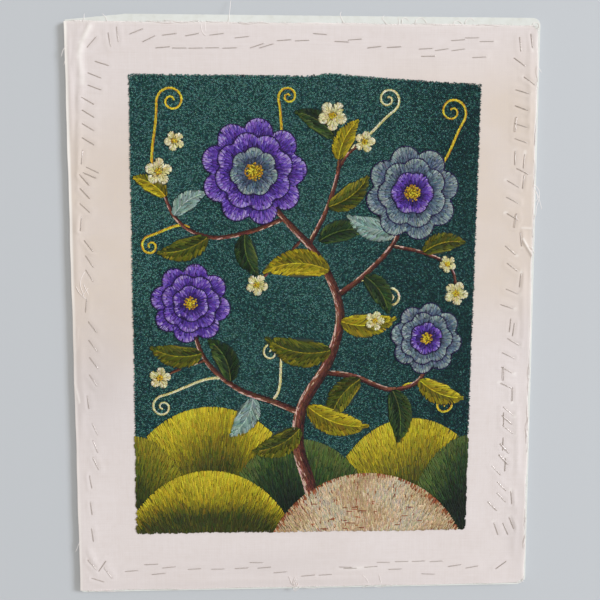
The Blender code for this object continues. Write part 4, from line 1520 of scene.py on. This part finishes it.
TEAL_DARK = ((8, 50, 55), (18, 64, 64), (34, 88, 84))
TEAL_LIGHT = ((40, 94, 90), (60, 116, 110), (92, 146, 138))
SEED_LONG = 2
SEED_ROW = 0.82
SEED_WIDTH = 1.15
LIGHT_SHARE = (0.3, 0.26)  # how many seeds are of the lighter teal: the least, and what drift adds


def field_place(right, up):
    """A place in the stitched rectangle, from its shares across and up."""
    low_left, low_right, high_right, high_left = np.array(FIELD_CORNERS)
    stray = np.interp(1 - right, *FIELD_TOP_STRAY)[:, None] * (0, 1)
    right, up = right[:, None], up[:, None]
    low = low_left + (low_right - low_left) * right
    high = high_left + (high_right - high_left) * right + stray
    return low + (high - low) * up


draw = np.random.default_rng(505)
field_width, field_height = np.ptp(field, axis=0)
rows_up, seeds_across = int(field_height / SEED_ROW), int(field_width / (SEED_LONG * 0.86))
row, seed = np.divmod(np.arange(rows_up * seeds_across), seeds_across)
count = len(seed)
right = (seed + 0.5 + np.where(row % 2, 0.25, -0.25) + draw.uniform(-0.22, 0.22, count)) / seeds_across
place = field_place(right, (row + 0.5 + draw.uniform(-0.3, 0.3, count)) / rows_up)
x, y = place.T
facing = draw.normal(0, 0.42, count) + 0.35 * np.sin(x / 31 + np.sin(y / 23))
step = unit(facing) * (SEED_LONG / 2 * draw.uniform(0.85, 1.15, count))[:, None]
drift = 0.8 + 0.12 * np.sin(x / 24 + 2 * np.sin(y / 37)) + 0.22 * y / 200
drift = np.clip(drift - 0.6 * np.clip((x - 20) / 110, 0, 1), 0, 1)
is_light = draw.random(count) < LIGHT_SHARE[0] + LIGHT_SHARE[1] * drift
light, dark = shade(TEAL_LIGHT, drift, draw, 0.8), shade(TEAL_DARK, drift, draw, 0.7)
colour = np.where(is_light[:, None], light, dark)
ground = make_stitches(place - step, place + step, colour, draw, 0, SEED_WIDTH)
ground = uncovered(keep_within(ground, field, 0.25, draw), above)
is_upper = ground[:, 1] >= np.median(ground[:, 1])
seed_floss = floss_material("marled_floss", 1.1, 0.5, 0.6)
sew("ground_stitches_upper", ground[is_upper], 1, seed_floss)
sew("ground_stitches_lower", ground[~is_upper], 1, seed_floss)


# --- Yarn bed ---
# The lower layer of yarn, where each stitch overlaps the last, closes the cloth between the upper
# stitches. It is painted darker than they are, as the shade in the gaps between them, and ends
# just inside the picture's edge.

BED_STEP = 3.2
BED_INSET = 0.0035
BED_BOTTOM = 0.03
BED_CORNERS_IN = 0.99
BED_SHADE = 0.8

across_count, up_count = int(field_width / BED_STEP), int(field_height / BED_STEP)
right, up = np.meshgrid(*(np.linspace(BED_INSET, 1 - BED_INSET, n) for n in (across_count, up_count)))
bed_xy = field_place(right.ravel(), up.ravel())
bed_xy[[0, across_count - 1, -across_count, -1]] *= BED_CORNERS_IN
# Painted shade: the darkest teal under the ground, and a darkened copy of each motif's colour under it
bed_colour = np.tile(np.array(TEAL_DARK[0], float), (len(bed_xy), 1))
for outline, colour in reversed(above):
    covered = inside(bed_xy, outline)
    for off in ((1, 0), (-1, 0), (0, 1), (0, -1)):
        covered[covered] = inside(bed_xy[covered] + 0.6 * BED_STEP * np.array(off), outline)
    bed_colour[covered] = BED_SHADE * np.array(colour)
bumps = 0.06 * np.sin(bed_xy[:, 0] * 1.9) * np.sin(bed_xy[:, 1] * 2.3)
heights = (bed_level - 0.06 + bumps, np.full(len(bed_xy), cloth_level + BED_BOTTOM))
layers = (np.column_stack([bed_xy, z]).reshape(up_count, across_count, 3) for z in heights)
bed_mesh = layer_mesh("yarn_bed", *layers)
paint(bed_mesh, "yarn", np.tile(linear(bed_colour), (2, 1)))
bed_floss, shader = new_material("lower_floss", (30, 50, 48), 0.8)
fibres = noise_at(place_in_mm(shader), 1.6, 3)
# More painted shade: the bed's colour is darkened further in fibre-like mottles
yarn_colour(shader, 0.6, fibres)
bump(shader, fibres, 0.7, 0.2)
bed = add_object("yarn_bed", bed_mesh, bed_floss)
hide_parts("stitched_field")
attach(bed, "root")
